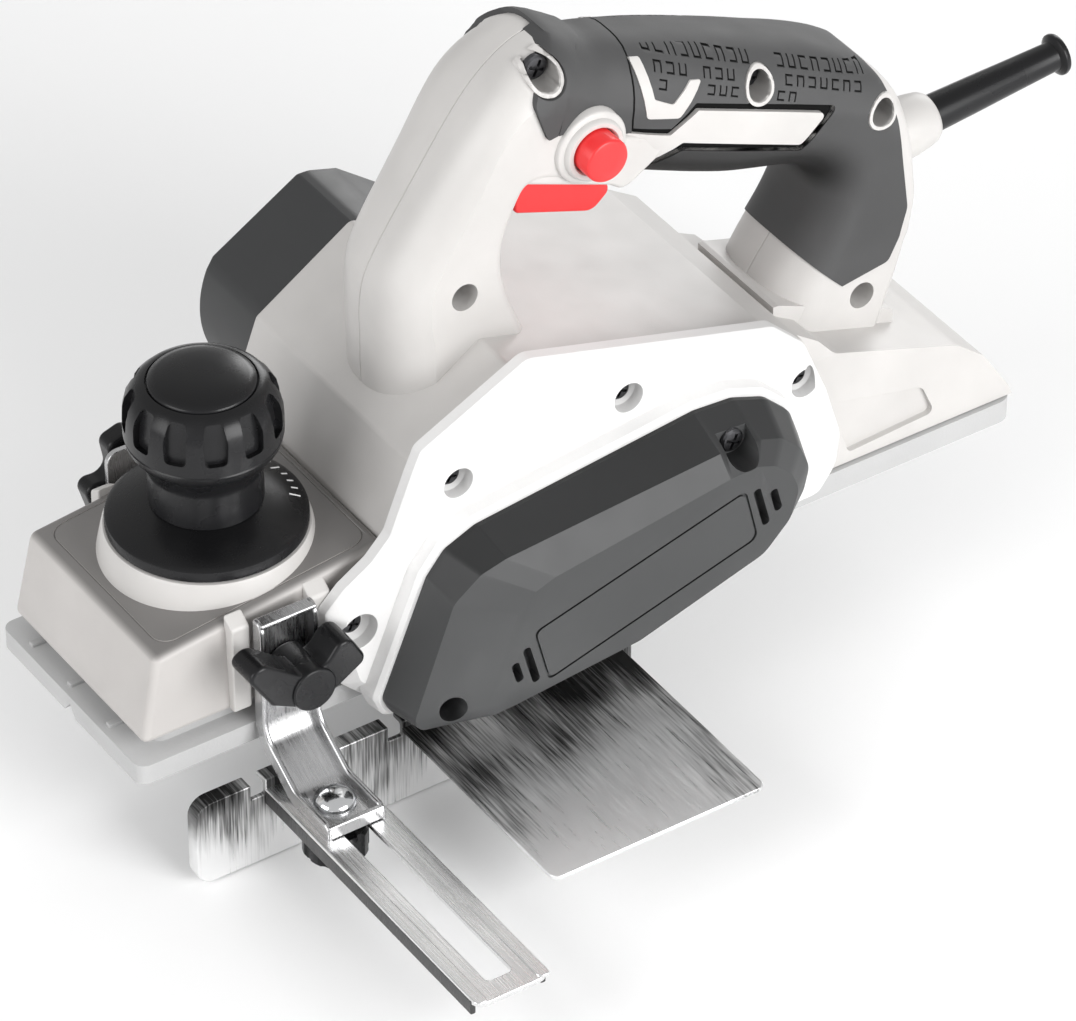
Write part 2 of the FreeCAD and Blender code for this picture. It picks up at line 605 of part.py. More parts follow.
def controls():
    """The trigger and its spring, the lock button and its spring, the switch, and the cord's fittings."""
    half = mm("trigger_half_width")
    blade = slab(-half, half, [(157.6, 149), (157, 127, 2), (186, 116.4, 4), (192.6, 124, 3), (186, 137), (168, 143),
                               (165.2, 149)])
    pivot = cylinder_y(4.2, -half, half, *TRIGGER_PIVOT)
    axle = cylinder_y(2.2, -12, 12, *TRIGGER_PIVOT)
    finish("trigger", fuse(blade, pivot, axle))
    finish("trigger_spring", coil(2.4, 0.4, 142.8, 151, 5, (184.5, 0, 0)))

    x, z = LOCK_AXIS
    head = fuse(cylinder_y("sizes.button_radius - 0.8", -31, -30.2, x, z),
                cylinder_y("sizes.button_radius", -30.2, -9.7, x, z))
    flange = cylinder_y(8.2, -9.7, -8.7, x, z)
    rod = cylinder_y(2.5, -8.7, 3, x, z)
    finish("lock_button", fuse(head, flange, rod))
    finish("lock_spring", coil(4.6, 0.5, 0, 17.6, 5, (x, -4, z), ALONG_Y))

    case = box((190.6, -9, 139.5), (213, 9, 158))
    plunger = cylinder(2, 3, (188, 0, 149), ALONG_X)
    terminals = [box((213, y - 2, 143), (217, y + 2, 147)) for y in (-5, 5)]
    finish("switch_module", fuse(case, plunger, *terminals))

    collar = fuse(along_cord(9.5, 3, 33), along_cord(10, 16, 31), along_cord(10, 31, 33.5, 9))
    finish("cord_collar", cut(collar, along_cord(6.3, 0, 50)))
    rubber = fuse(along_cord("sizes.guard_radius", 4, 34), along_cord("sizes.guard_radius", 34, 82, 4.6),
                  along_cord(7, 82, 84.5))
    waist = along_cord(4.4, 30, 90)
    flutes = [cut(along_cord(7.2, 36 + 5.6 * step, 37.4 + 5.6 * step), waist) for step in range(8)]
    finish("cord_guard", cut(rubber, along_cord(3.6, 0, 90), *flutes))
    clamp = box((275, -9, 84), (282, 9, 102))
    finish("cord_clamp", cut(clamp, cylinder(3.6, 20, (270, 0, 92.8), ALONG_X)))


# ---------------------------------------------------------------- depth control
def depth_control():
    """The knob with its dial, cap and screw on the threaded spindle, and the shoe's two springs."""
    dial_low, dial_high, rim = 52.6, 61.9, mm("dial_radius")
    cap_seat, screw_seat = 102.6, 84.0
    neck, grip, cap = mm("knob_neck_radius"), mm("knob_radius"), mm("cap_radius")
    spindle = fuse(cylinder("sizes.spindle_radius", 75, (knob_x, 0, 8)), cylinder(9, 2.8, (knob_x, 0, 38.3)),
                   cylinder(8, 2.6, (knob_x, 0, 30.1)))
    finish("depth_spindle", cut(spindle, cylinder(2.5, 30, (knob_x, 0, screw_seat - 20))))
    dial = [(12, dial_low), (rim, dial_low), (rim, 56.3), (neck, dial_high), (12, dial_high)]
    finish("depth_dial", turned(dial, knob_x, 0))
    knob = turned([(5, 41.2), (12, 41.2), (12, dial_high), (neck, dial_high), (neck, 74), (19.1, 77.7), (grip, 84),
                   (grip, 90), (23.2, 98), (20, 103.2), (cap, 105), (cap, cap_seat), (10, cap_seat), (10, screw_seat),
                   (5, screw_seat)], knob_x, 0)
    flutes = []
    for step in range(int(mm("flute_count"))):
        angle = 2 * math.pi * step / mm("flute_count")
        flutes.append(cylinder(4, 14, (knob_x + 26.2 * math.cos(angle), 26.2 * math.sin(angle), 90)))
    finish("depth_knob", cut(knob, *flutes))
    finish("knob_cap", turned([(0, cap_seat), (cap, cap_seat), (cap, 105.4), (15.5, 107), (10, 108), (0, 108.4)],
                              knob_x, 0))
    shank = cylinder(2.5, 20, (knob_x, 0, screw_seat - 20))
    finish("knob_screw", fuse(shank, cylinder(7, 3.5, (knob_x, 0, screw_seat))))
    springs = [coil(5.6, 0.7, 6.4, 32.9, 5, (22, y, 0)) for y in (-22, 22)]
    finish("shoe_springs", group(*springs))


# ---------------------------------------------------------------- cutter, motor and belt
def bearing(outer, inner, y_low, y_high, x, z):
    """A ball bearing drawn as one ring with the groove between its races on both faces."""
    middle = (outer + inner) / 2
    ring = cut(cylinder_y(outer, y_low, y_high, x, z), cylinder_y(inner, y_low - 1, y_high + 1, x, z))
    groove = cut(cylinder_y(middle + 1.6, y_low - 1, y_high + 1, x, z),
                 cylinder_y(middle - 1.6, y_low - 1, y_high + 1, x, z),
                 cylinder_y(outer + 1, y_low + 0.7, y_high - 0.7, x, z))
    return cut(ring, groove)


def cutter():
    """The drum on its shaft, both blades with clamps and screws, and the drum's pulley and bearings."""
    half = mm("drum_half_length")
    body = cylinder_y("sizes.drum_radius", -half, half, drum_x, drum_z)
    shaft = cylinder_y("sizes.drum_shaft_radius", -69, 47, drum_x, drum_z)
    blades, clamps, screws, slots = [], [], [], []
    for angle in (35, 215):
        turn = Rotation(Y_AXIS, angle)

        def place(x, z):
            point = turn.multVec(Vector(x, 0, z))
            return (drum_x + point.x, 0, drum_z + point.z)

        slots.append(turned_box((11, 2 * half + 2, 12), place(18.6, -2), turn))
        limit = cylinder_y("sizes.blade_circle_radius", -41, 41, drum_x, drum_z)
        blades.append(common(turned_box((10, 2 * half - 0.2, 1.2), place(18.2, 1.4), turn), limit))
        keep = cylinder_y("sizes.drum_radius", -41, 41, drum_x, drum_z)
        clamps.append(common(turned_box((7.5, 2 * half - 0.2, 8.8), place(17, -3.6), turn), keep))
        for y in (-26, 0, 26):
            point = place(15.4, -3.6)
            screws.append(turned_box((4, 4, 4), (point[0], y, point[2]), turn))
    finish("cutter_drum", fuse(cut(body, *slots), shaft))
    finish("cutter_blades", group(*blades))
    finish("blade_clamps", cut(group(*clamps), *screws))
    finish("clamp_screws", group(*screws))
    finish("drum_pulley", pulley("sizes.drum_pulley_radius", 5, drum_x, drum_z))
    radius = mm("drum_bearing_radius")
    bore = mm("drum_shaft_radius") + gap
    finish("drum_bearings", group(bearing(radius, bore, -47.4, -41.4, drum_x, drum_z),
                                  bearing(radius, bore, 41.4, 47.4, drum_x, drum_z)))


def pulley(radius, bore, x, z):
    """A pulley with shallow grooves for the ribs of the belt."""
    wheel = cylinder_y(radius, -68.5, -57.5, x, z)
    grooves = [cylinder_y(30, y, y + 0.8, x, z) for y in (-66.4, -64.2, -62, -59.8)]
    core = make("Part::Cylinder", Height=20)
    core.setExpression("Radius", f"{radius} - 0.9")
    core.Placement = Placement(Vector(x, -72, z), ALONG_Y)
    return cut(wheel, cut(fuse(*grooves), core), cylinder_y(bore, -80, -50, x, z))


def around_pulleys(extra, y_low, y_high):
    """The stadium that wraps both pulleys at a distance."""
    first, second = mm("drum_pulley_radius") + extra, mm("motor_pulley_radius") + extra
    reach = math.hypot(motor_x - drum_x, motor_z - drum_z)
    heading = math.atan2(motor_z - drum_z, motor_x - drum_x)
    spread = math.acos((first - second) / reach)
    corners = []
    for centre_x, centre_z, radius, side in ((drum_x, drum_z, first, -1), (motor_x, motor_z, second, -1),
                                             (motor_x, motor_z, second, 1), (drum_x, drum_z, first, 1)):
        angle = heading + side * spread
        corners.append((centre_x + radius * math.cos(angle), centre_z + radius * math.sin(angle)))
    return fuse(slab(y_low, y_high, corners), cylinder_y(first, y_low, y_high, drum_x, drum_z),
                cylinder_y(second, y_low, y_high, motor_x, motor_z))


def drive_belt():
    outside = around_pulleys(mm("belt_gap") + mm("belt_thickness"), -68, -68 + mm("belt_width"))
    inside = around_pulleys(mm("belt_gap"), -70, -50)
    return finish("drive_belt", cut(outside, inside))


def motor():
    """The armature with its core, commutator, fan and pulley, and what stands around it."""
    x, z = motor_x, motor_z
    finish("armature_shaft", fuse(cylinder_y("sizes.motor_shaft_radius", -69, 47, x, z),
                                  cylinder_y(6, -27.9, -22, x, z)))
    core = cylinder_y("sizes.core_radius", -22, 22, x, z)
    windings = fuse(cylinder_y(15, -27, -22, x, z), cylinder_y(15, 22, 25, x, z))
    slots = []
    for step in range(10):
        point = Rotation(Y_AXIS, 36 * step).multVec(Vector(18.5, 0, 0))
        slots.append(turned_box((3.4, 60, 1.6), (x + point.x, 0, z + point.z), Rotation(Y_AXIS, 36 * step)))
    shaft_space = cylinder_y("sizes.motor_shaft_radius", -50, 50, x, z)
    collar_space = cylinder_y(6, -28, -22, x, z)
    finish("armature_core", cut(fuse(core, windings), *slots, shaft_space, collar_space))
    finish("commutator", cut(cylinder_y("sizes.commutator_radius", 26, 38, x, z), shaft_space))
    disc = cut(fuse(cylinder_y("sizes.fan_radius", -36.5, -35, x, z), cylinder_y(9, -36.5, -28, x, z)), shaft_space)
    vanes = []
    for step in range(10):
        point = Rotation(Y_AXIS, 36 * step).multVec(Vector(18.8, 0, 0))
        turn = Rotation(Y_AXIS, 36 * step)
        vanes.append(turned_box((20.6, 7, 1.4), (x + point.x, -31.6, z + point.z), turn))
    finish("cooling_fan", fuse(disc, *vanes))
    finish("motor_pulley", pulley("sizes.motor_pulley_radius", 4, x, z))
    radius = mm("motor_bearing_radius")
    bore = mm("motor_shaft_radius") + gap
    finish("armature_bearings", group(bearing(radius, bore, -48.4, -41.4, x, z),
                                      bearing(radius, bore, 40.7, 47.6, x, z)))
    laminations = cut(cylinder_y("sizes.stator_radius", -23, 23, x, z), cylinder_y(19.1, -30, 30, x, z))
    pockets = [slab(-30, 30, [(x - 12, z + low), (x + 12, z + low), (x + 12, z + low + 7), (x - 12, z + low + 7)])
               for low in (-26.5, 19.5)]
    coils = [slab(-27, 24.5, [(x - 11.8, z + low), (x + 11.8, z + low), (x + 11.8, z + low + 6.6),
                              (x - 11.8, z + low + 6.6)]) for low in (-26.3, 19.7)]
    finish("field_stator", fuse(cut(laminations, *pockets), *coils))
    finish("fan_baffle", cut(cylinder_y(32, -27.6, -26, x, z), cylinder_y(20, -30, -20, x, z),
                             *[turned_box((26, 8, 9), (x, -27, z + side * 23), Rotation()) for side in (-1, 1)]))
    holders, brushes, springs = [], [], []
    for side in (-1, 1):
        first, second = sorted((x + side * 13, x + side * 30))
        channel = sorted((x + side * 5, x + side * 29))
        block = sorted((x + side * 11.3, x + side * 20))
        holder = cut(box((first, 27, z - 5.5), (second, 37, z + 5.5)),
                     box((channel[0], 28.4, z - 4.1), (channel[1], 35.6, z + 4.1)))
        holders.append(holder)
        brushes.append(box((block[0], 28.5, z - 4), (block[1], 35.5, z + 4)))
        start = x + (20.2 if side > 0 else -28.9)
        springs.append(coil(2.6, 0.35, 0, 8.7, 5, (start, 32, z), ALONG_X))
    finish("brush_holders", group(*holders))
    finish("carbon_brushes", group(*brushes))
    finish("brush_springs", group(*springs))


# ---------------------------------------------------------------- guides
def wing_bolt(label, side, y_face, z, reach, wings):
    """A moulded wing head on a threaded stem. The head stands off the face at y_face by its reach."""
    def span(near, far):
        return sorted((side * near, side * far))

    hub = cylinder_y(7.5, *span(y_face, y_face + reach), knob_x, z)
    stem = cylinder_y(3, *span(33, y_face + 4), knob_x, z)
    heads = [slab(*span(y_face + reach - 7, y_face + reach), outline) for outline in wings]
    return finish(label, fuse(hub, stem, *heads))


def guide_bracket():
    """The stamped tray bracket: a web against the front cover, bent out to the foot that carries the fence."""
    start = knob_x - mm("bracket_width") / 2
    end = start + mm("bracket_width")
    floor = bar(start, end, [(-41.3, 46), (-43.3, 46), (-43.3, 2.3), (-61.7, -9.8), (-82, -9.8), (-82, -11.8),
                             (-61, -11.8), (-41.3, 1.2)])
    rims = [bar(low, low + 1.6, [(-41.3, 46), (-44.6, 46), (-46.2, 44), (-46.2, 4.3), (-63, -6.8), (-82, -6.8),
                                 (-82, -11.8), (-61, -11.8), (-41.3, 1.2)]) for low in (start, end - 1.6)]
    end_rims = [box((start, -82, -11.8), (end, -80.4, -6.8)), box((start, -46.2, 44.4), (end, -41.3, 46))]
    bolt = cylinder_y(3.3, -50, -38, knob_x, NEAR_WING_Z)
    bolt_y = -mm("guide_bolt_offset")
    square = box((knob_x - 4.1, bolt_y - 4.1, -15), (knob_x + 4.1, bolt_y + 4.1, 0))
    return finish("guide_bracket", cut(fuse(floor, *rims, *end_rims), bolt, square))


def guide_clamp():
    """The carriage bolt through the bracket's foot and the knob nut under the fence's arm."""
    y = -mm("guide_bolt_offset")
    dome = turned([(0, -9.8), (6.5, -9.8), (6, -7.6), (4, -6.3), (0, -5.8)], knob_x, y)
    square = box((knob_x - 4, y - 4, -11.8), (knob_x + 4, y + 4, -9.8))
    shank = cylinder("sizes.guide_bolt_radius", 15, (knob_x, y, -26.6))
    finish("guide_clamp_bolt", fuse(dome, square, shank))
    nut = turned([(4.06, -14.2), (7, -14.2), (7, -18.1), (9, -18.1), (10, -19), (10, -27.6), (9, -28.5),
                  (4.06, -28.5)], knob_x, y)
    grips = [cylinder(1.6, 9, (knob_x + 10.4 * math.cos(step * math.pi / 5), y + 10.4 * math.sin(step * math.pi / 5),
                               -27.8)) for step in range(10)]
    finish("guide_knob_nut", cut(nut, *grips))


def guide_fence():
    """The pressed fence: a rimmed face, the slotted arm and the wing plate bent back from its top edge."""
    face, gauge = -mm("fence_face"), mm("fence_gauge")
    start, end, low, top = mm("fence_start"), mm("fence_end"), mm("fence_bottom"), mm("fence_top")
    outline = [(start, low, 6), (end, low, 6), (end, top, 6), (start, top, 6)]
    inner = [(start + gauge, low + gauge, 4.2), (end - gauge, low + gauge, 4.2), (end - gauge, top - gauge, 4.2),
             (start + gauge, top - gauge, 4.2)]
    tray = cut(slab(face, face + mm("fence_rim"), outline), slab(face + gauge, face + 10, inner))
    arm_top, arm_low = mm("arm_top"), mm("arm_top") - gauge
    left, right, arm_end = knob_x - 13, knob_x + 13, -mm("arm_end")
    arm = plate(arm_low, arm_top, [(left, arm_end, 5), (right, arm_end, 5), (right, face + 0.5), (left, face + 0.5)])
    rails = [box((x, arm_end + 5, arm_low - 3.8), (x + gauge, face + 0.5, arm_top)) for x in (left, right - gauge)]
    half_slot = mm("slot_width") / 2
    slot = plate(arm_low - 5, arm_top + 5, [(knob_x - half_slot, -158, 4.4), (knob_x + half_slot, -158, 4.4),
                                            (knob_x + half_slot, -63, 4.4), (knob_x - half_slot, -63, 4.4)])
    wing = plate(-12.6, -11.1, [(86.5, -134, 5), (163.5, -134, 5), (163.5, face + 0.5), (86.5, face + 0.5)])
    reliefs = [box((x - 2.5, face - 2, top - 5.5), (x + 2.5, face + 10, top + 1)) for x in (left - 2.5, 84)]
    return finish("guide_fence", cut(fuse(tray, arm, *rails, wing), slot, *reliefs))


def rebate_stop():
    """The slotted stop plate on the far side with its foot bent outwards."""
    start = knob_x - mm("bracket_width") / 2
    end = start + mm("bracket_width")
    web = slab(41.4, 43.4, [(start, 4), (end, 4), (end, 54, 4), (start, 54, 4)])
    foot = plate(4, 6, [(start, 41.4), (end, 41.4), (end, 56, 4), (start, 56, 4)])
    left, right = knob_x - 3.2, knob_x + 3.2
    slot = slab(40, 45, [(left, 19.6), (right, 19.6), (right, 40.4), (left, 40.4)])
    return finish("rebate_stop", cut(fuse(web, foot), slot))


frame = main_frame()
front_shoe()
cover = front_cover()
knob_collar(cover)
side_plate()
side_plate_screws()
belt_cover()
belt_cover_screws()
motor_housing(frame)
motor_end_cover()
housing_screws()
chip_outlet()
rear_cover()
handle()
controls()
depth_control()
cutter()
drive_belt()
motor()
guide_bracket()
guide_clamp()
guide_fence()
rebate_stop()
wing_bolt("bracket_wing_bolt", -1, 43.6, NEAR_WING_Z, 16, [
    [(45, 23), (36.4, 26.8, 2), (28, 41, 3), (33.5, 43.5, 3), (47, 33.5)],
    [(53.5, 33.5), (62, 43.5, 3), (69.5, 31, 3), (57, 24)]])
wing_bolt("stop_wing_bolt", 1, 43.7, FAR_WING_Z, 9, [
    [(54, 28), (45.5, 28), (39, 25.5, 3), (34, 40, 3), (47, 39)],
    [(46, 38), (43, 52, 3), (52, 56.5, 3), (56, 38)]])

doc.recompute()
os.makedirs("parts", exist_ok=True)
bad_states = ("Invalid", "Error")
for thing in doc.Objects:
    if any(state in bad_states for state in thing.State):
        raise RuntimeError(f"{thing.Name} ({thing.TypeId}) is {thing.State}")
for label, shape in finished.items():
    if shape.Shape.isNull() or not shape.Shape.isValid():
        raise RuntimeError(f"{label} has no valid shape")
for label, shape in finished.items():
    shape.Shape.exportStep(os.path.join("parts", f"{label}.step"))
print(len(finished), "sub-parts written")
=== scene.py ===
import json
import math

import bmesh
import bpy
from mathutils import Matrix, Vector


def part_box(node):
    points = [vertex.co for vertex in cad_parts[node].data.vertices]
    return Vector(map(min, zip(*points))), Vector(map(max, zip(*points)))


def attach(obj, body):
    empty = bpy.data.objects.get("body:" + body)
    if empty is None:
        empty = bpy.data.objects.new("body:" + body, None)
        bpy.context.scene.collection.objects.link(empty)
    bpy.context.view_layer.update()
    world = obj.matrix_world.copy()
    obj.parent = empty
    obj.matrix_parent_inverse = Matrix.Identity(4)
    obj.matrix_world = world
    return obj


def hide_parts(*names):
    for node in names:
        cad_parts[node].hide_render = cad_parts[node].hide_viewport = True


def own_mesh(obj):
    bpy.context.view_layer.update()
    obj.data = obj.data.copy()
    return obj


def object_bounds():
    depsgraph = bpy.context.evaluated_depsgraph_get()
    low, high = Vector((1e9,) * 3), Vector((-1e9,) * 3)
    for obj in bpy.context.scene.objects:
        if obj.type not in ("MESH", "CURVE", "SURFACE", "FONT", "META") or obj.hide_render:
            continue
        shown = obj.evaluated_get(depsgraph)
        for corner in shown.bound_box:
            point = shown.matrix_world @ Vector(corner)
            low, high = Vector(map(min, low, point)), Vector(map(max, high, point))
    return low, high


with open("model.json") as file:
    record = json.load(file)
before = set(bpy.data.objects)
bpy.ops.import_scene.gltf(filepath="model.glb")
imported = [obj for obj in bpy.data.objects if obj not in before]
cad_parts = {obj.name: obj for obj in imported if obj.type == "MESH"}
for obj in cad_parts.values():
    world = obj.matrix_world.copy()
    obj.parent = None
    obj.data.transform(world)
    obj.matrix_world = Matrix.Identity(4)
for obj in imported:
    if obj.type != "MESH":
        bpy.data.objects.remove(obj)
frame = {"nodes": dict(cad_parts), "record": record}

CAD_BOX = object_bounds()

# The looks of an electric hand planer. Shapes are drawn in millimetres: x is the station behind the front
# shoe's front edge, y is sideways from the middle of the sole (the belt side is -y), z is the height over
# the rear sole's face. put() scales a finished piece to metres and moves it into the frame. Outlines list
# their corners, and a third number is a corner's radius.

MM = 0.001
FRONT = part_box("front_shoe")[0][0]
KNOB_X = 50.4
DRUM = (118.0, 23.0)
MOTOR = (205.0, 43.0)
OUTLET = (137.0, 58.0)
PLATE_SCREWS = [(108.3, 73.6), (169.6, 79.5), (235.4, 57.2), (72.7, 32.5)]
COVER_SCREWS = [(91.0, 9.5), (197.0, 61.5)]
HANDLE_BOLTS = [(129.6, 116), (161, 182), (238, 149), (283.6, 122.6), (277.1, 56)]
LOCK = (174.5, 153.5)
SPINDLE_BORE, POST_RADIUS = 5.5, 4.0
SPRING_X, SPRING_Y = 22, (-22, 22)
SHOE_TRAVEL = 3.75


# ---------------- outlines
def rounded(points, steps=5):
    """Points (u, v) or (u, v, radius), with an arc of that radius at each rounded corner."""
    out = []
    count = len(points)
    for index, point in enumerate(points):
        here = Vector(point[:2])
        radius = point[2] if len(point) > 2 else 0
        if not radius:
            out.append((here.x, here.y))
            continue
        before = (Vector(points[index - 1][:2]) - here).normalized()
        after = (Vector(points[(index + 1) % count][:2]) - here).normalized()
        half = before.angle(after) / 2
        reach = radius / math.tan(half)
        centre = here + (before + after).normalized() * (radius / math.sin(half))
        start, end = here + before * reach, here + after * reach
        first = (start - centre)
        swing = first.angle_signed(end - centre)
        for step in range(steps + 1):
            turned = first.copy()
            turned.rotate(Matrix.Rotation(-swing * step / steps, 2))
            out.append(tuple(centre + turned))
    return out


def rounded_box(left, low, right, high, radius, steps=5):
    return rounded([(left, low, radius), (right, low, radius), (right, high, radius), (left, high, radius)],
                   steps)


def inset(points, distance):
    """The outline moved in by a distance, corner for corner. Points run counter-clockwise."""
    out = []
    count = len(points)
    for index in range(count):
        here = Vector(points[index][:2])
        first = (here - Vector(points[index - 1][:2])).normalized()
        second = (Vector(points[(index + 1) % count][:2]) - here).normalized()
        left_first, left_second = Vector((-first.y, first.x)), Vector((-second.y, second.x))
        middle = (left_first + left_second).normalized()
        moved = here + middle * (distance / middle.dot(left_first))
        out.append((moved.x, moved.y, *points[index][2:]))
    return out


def circle(u, v, radius, steps=48):
    return [(u + radius * math.cos(2 * math.pi * step / steps), v + radius
             * math.sin(2 * math.pi * step / steps)) for step in range(steps)]


# ---------------- solids
def along(axis, u, v, w):
    """The place of (u, v) in a section that stands at w on the axis."""
    return {"x": (w, u, v), "y": (u, w, v), "z": (u, v, w)}[axis]


def solid(name, verts, faces):
    mesh = bpy.data.meshes.new(name)
    mesh.from_pydata([tuple(v) for v in verts], [], faces)
    clean = bmesh.new()
    clean.from_mesh(mesh)
    bmesh.ops.remove_doubles(clean, verts=clean.verts, dist=1e-4)
    bmesh.ops.recalc_face_normals(clean, faces=clean.faces)
    clean.to_mesh(mesh)
    clean.free()
    obj = bpy.data.objects.new(name, mesh)
    bpy.context.scene.collection.objects.link(obj)
    return obj


def loft(name, rings):
    """A closed skin over rings of equal count, with its ends capped."""
    count = len(rings[0])
    verts = [point for ring in rings for point in ring]
    faces = []
    for level in range(len(rings) - 1):
        low, high = level * count, (level + 1) * count
        for index in range(count):
            after = (index + 1) % count
            faces.append((low + index, low + after, high + after, high + index))
    faces.append(tuple(reversed(range(count))))
    faces.append(tuple(range((len(rings) - 1) * count, len(rings) * count)))
    return solid(name, verts, faces)


def prism(name, outline, low, high, axis="y"):
    return loft(name, [[along(axis, u, v, w) for u, v in outline] for w in (low, high)])


def block(name, low, high):
    return prism(name, [(low[0], low[1]), (high[0], low[1]), (high[0], high[1]), (low[0], high[1])],
                 low[2], high[2], "z")


def rod(name, u, v, radius, low, high, axis="y", steps=48):
    return prism(name, circle(u, v, radius, steps), low, high, axis)


def lathe(name, profile, centre, axis="z", steps=96):
    """A solid of revolution. The profile lists (radius, place along the axis), from one end to the other."""
    return loft(name, [[along(axis, u, v, w) for u, v in circle(*centre, radius, steps)] for radius,
                       w in profile])


def baked(obj):
    """Turns the modifiers into plain mesh."""
    graph = bpy.context.evaluated_depsgraph_get()
    mesh = bpy.data.meshes.new_from_object(obj.evaluated_get(graph), depsgraph=graph)
    obj.modifiers.clear()
    obj.data = mesh
    return obj


def combine(obj, kind, tools, keep=False):
    """A boolean of an object with each tool in turn. The tools go, unless they are kept for another cut."""
    for tool in tools:
        step = obj.modifiers.new("combine", "BOOLEAN")
        step.operation = kind
        step.solver = "EXACT"
        step.object = tool
        bpy.context.view_layer.update()
        baked(obj)
        if not keep:
            bpy.data.objects.remove(tool)
    return obj


def cut(obj, *tools, keep=False):
    return combine(obj, "DIFFERENCE", tools, keep)


def fused(obj, *tools):
    return combine(obj, "UNION", tools)


def kept_in(obj, *tools):
    return combine(obj, "INTERSECT", tools)


def joined(name, pieces):
    """Several separate solids in one object."""
    gathered = bmesh.new()
    for piece in pieces:
        gathered.from_mesh(piece.data)
        bpy.data.objects.remove(piece)
    mesh = bpy.data.meshes.new(name)
    gathered.to_mesh(mesh)
    gathered.free()
    obj = bpy.data.objects.new(name, mesh)
    bpy.context.scene.collection.objects.link(obj)
    return obj


def weighted(obj):
    """Bends the normals towards the larger faces, so that flats look flat."""
    normals = obj.modifiers.new("normals", "WEIGHTED_NORMAL")
    normals.keep_sharp = True
    return baked(obj)


def softened(obj, width, segments=3, angle=28):
    """Rounds every edge sharper than the angle and keeps the flats flat."""
    bevel = obj.modifiers.new("edges", "BEVEL")
    bevel.width = width
    bevel.segments = segments
    bevel.limit_method = "ANGLE"
    bevel.angle_limit = math.radians(angle)
    bevel.miter_outer = "MITER_ARC"
    obj.data.shade_smooth()
    return weighted(obj)


def smoothed(obj, angle=40):
    """Shades an object smooth, apart from the edges sharper than the angle."""
    obj.data.shade_smooth()
    obj.data.set_sharp_from_angle(angle=math.radians(angle))
    return obj


def turned_about(obj, axis, degrees, centre):
    """Turns a solid about an axis through the centre."""
    middle = Vector(centre)
    obj.data.transform(Matrix.Translation(middle) @ Matrix.Rotation(math.radians(degrees), 4, axis)
                       @ Matrix.Translation(-middle))
    return obj


def on_side(side, inner, outer):
    """The span from inner to outer on one side of the middle, -1 near or 1 far."""
    return sorted((side * inner, side * outer))


def put(obj, body, look, *replaced):
    """Scales a finished piece to metres, moves it into the frame, gives it the look's material, hangs it on
    its body and hides the CAD parts it replaces.
    """
    slot, material = look
    obj.data.transform(Matrix.Translation((FRONT, 0, 0)) @ Matrix.Scale(MM, 4))
    obj.data.materials.clear()
    obj.data.materials.append(material)
    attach(obj, body)
    if replaced:
        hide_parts(*replaced)


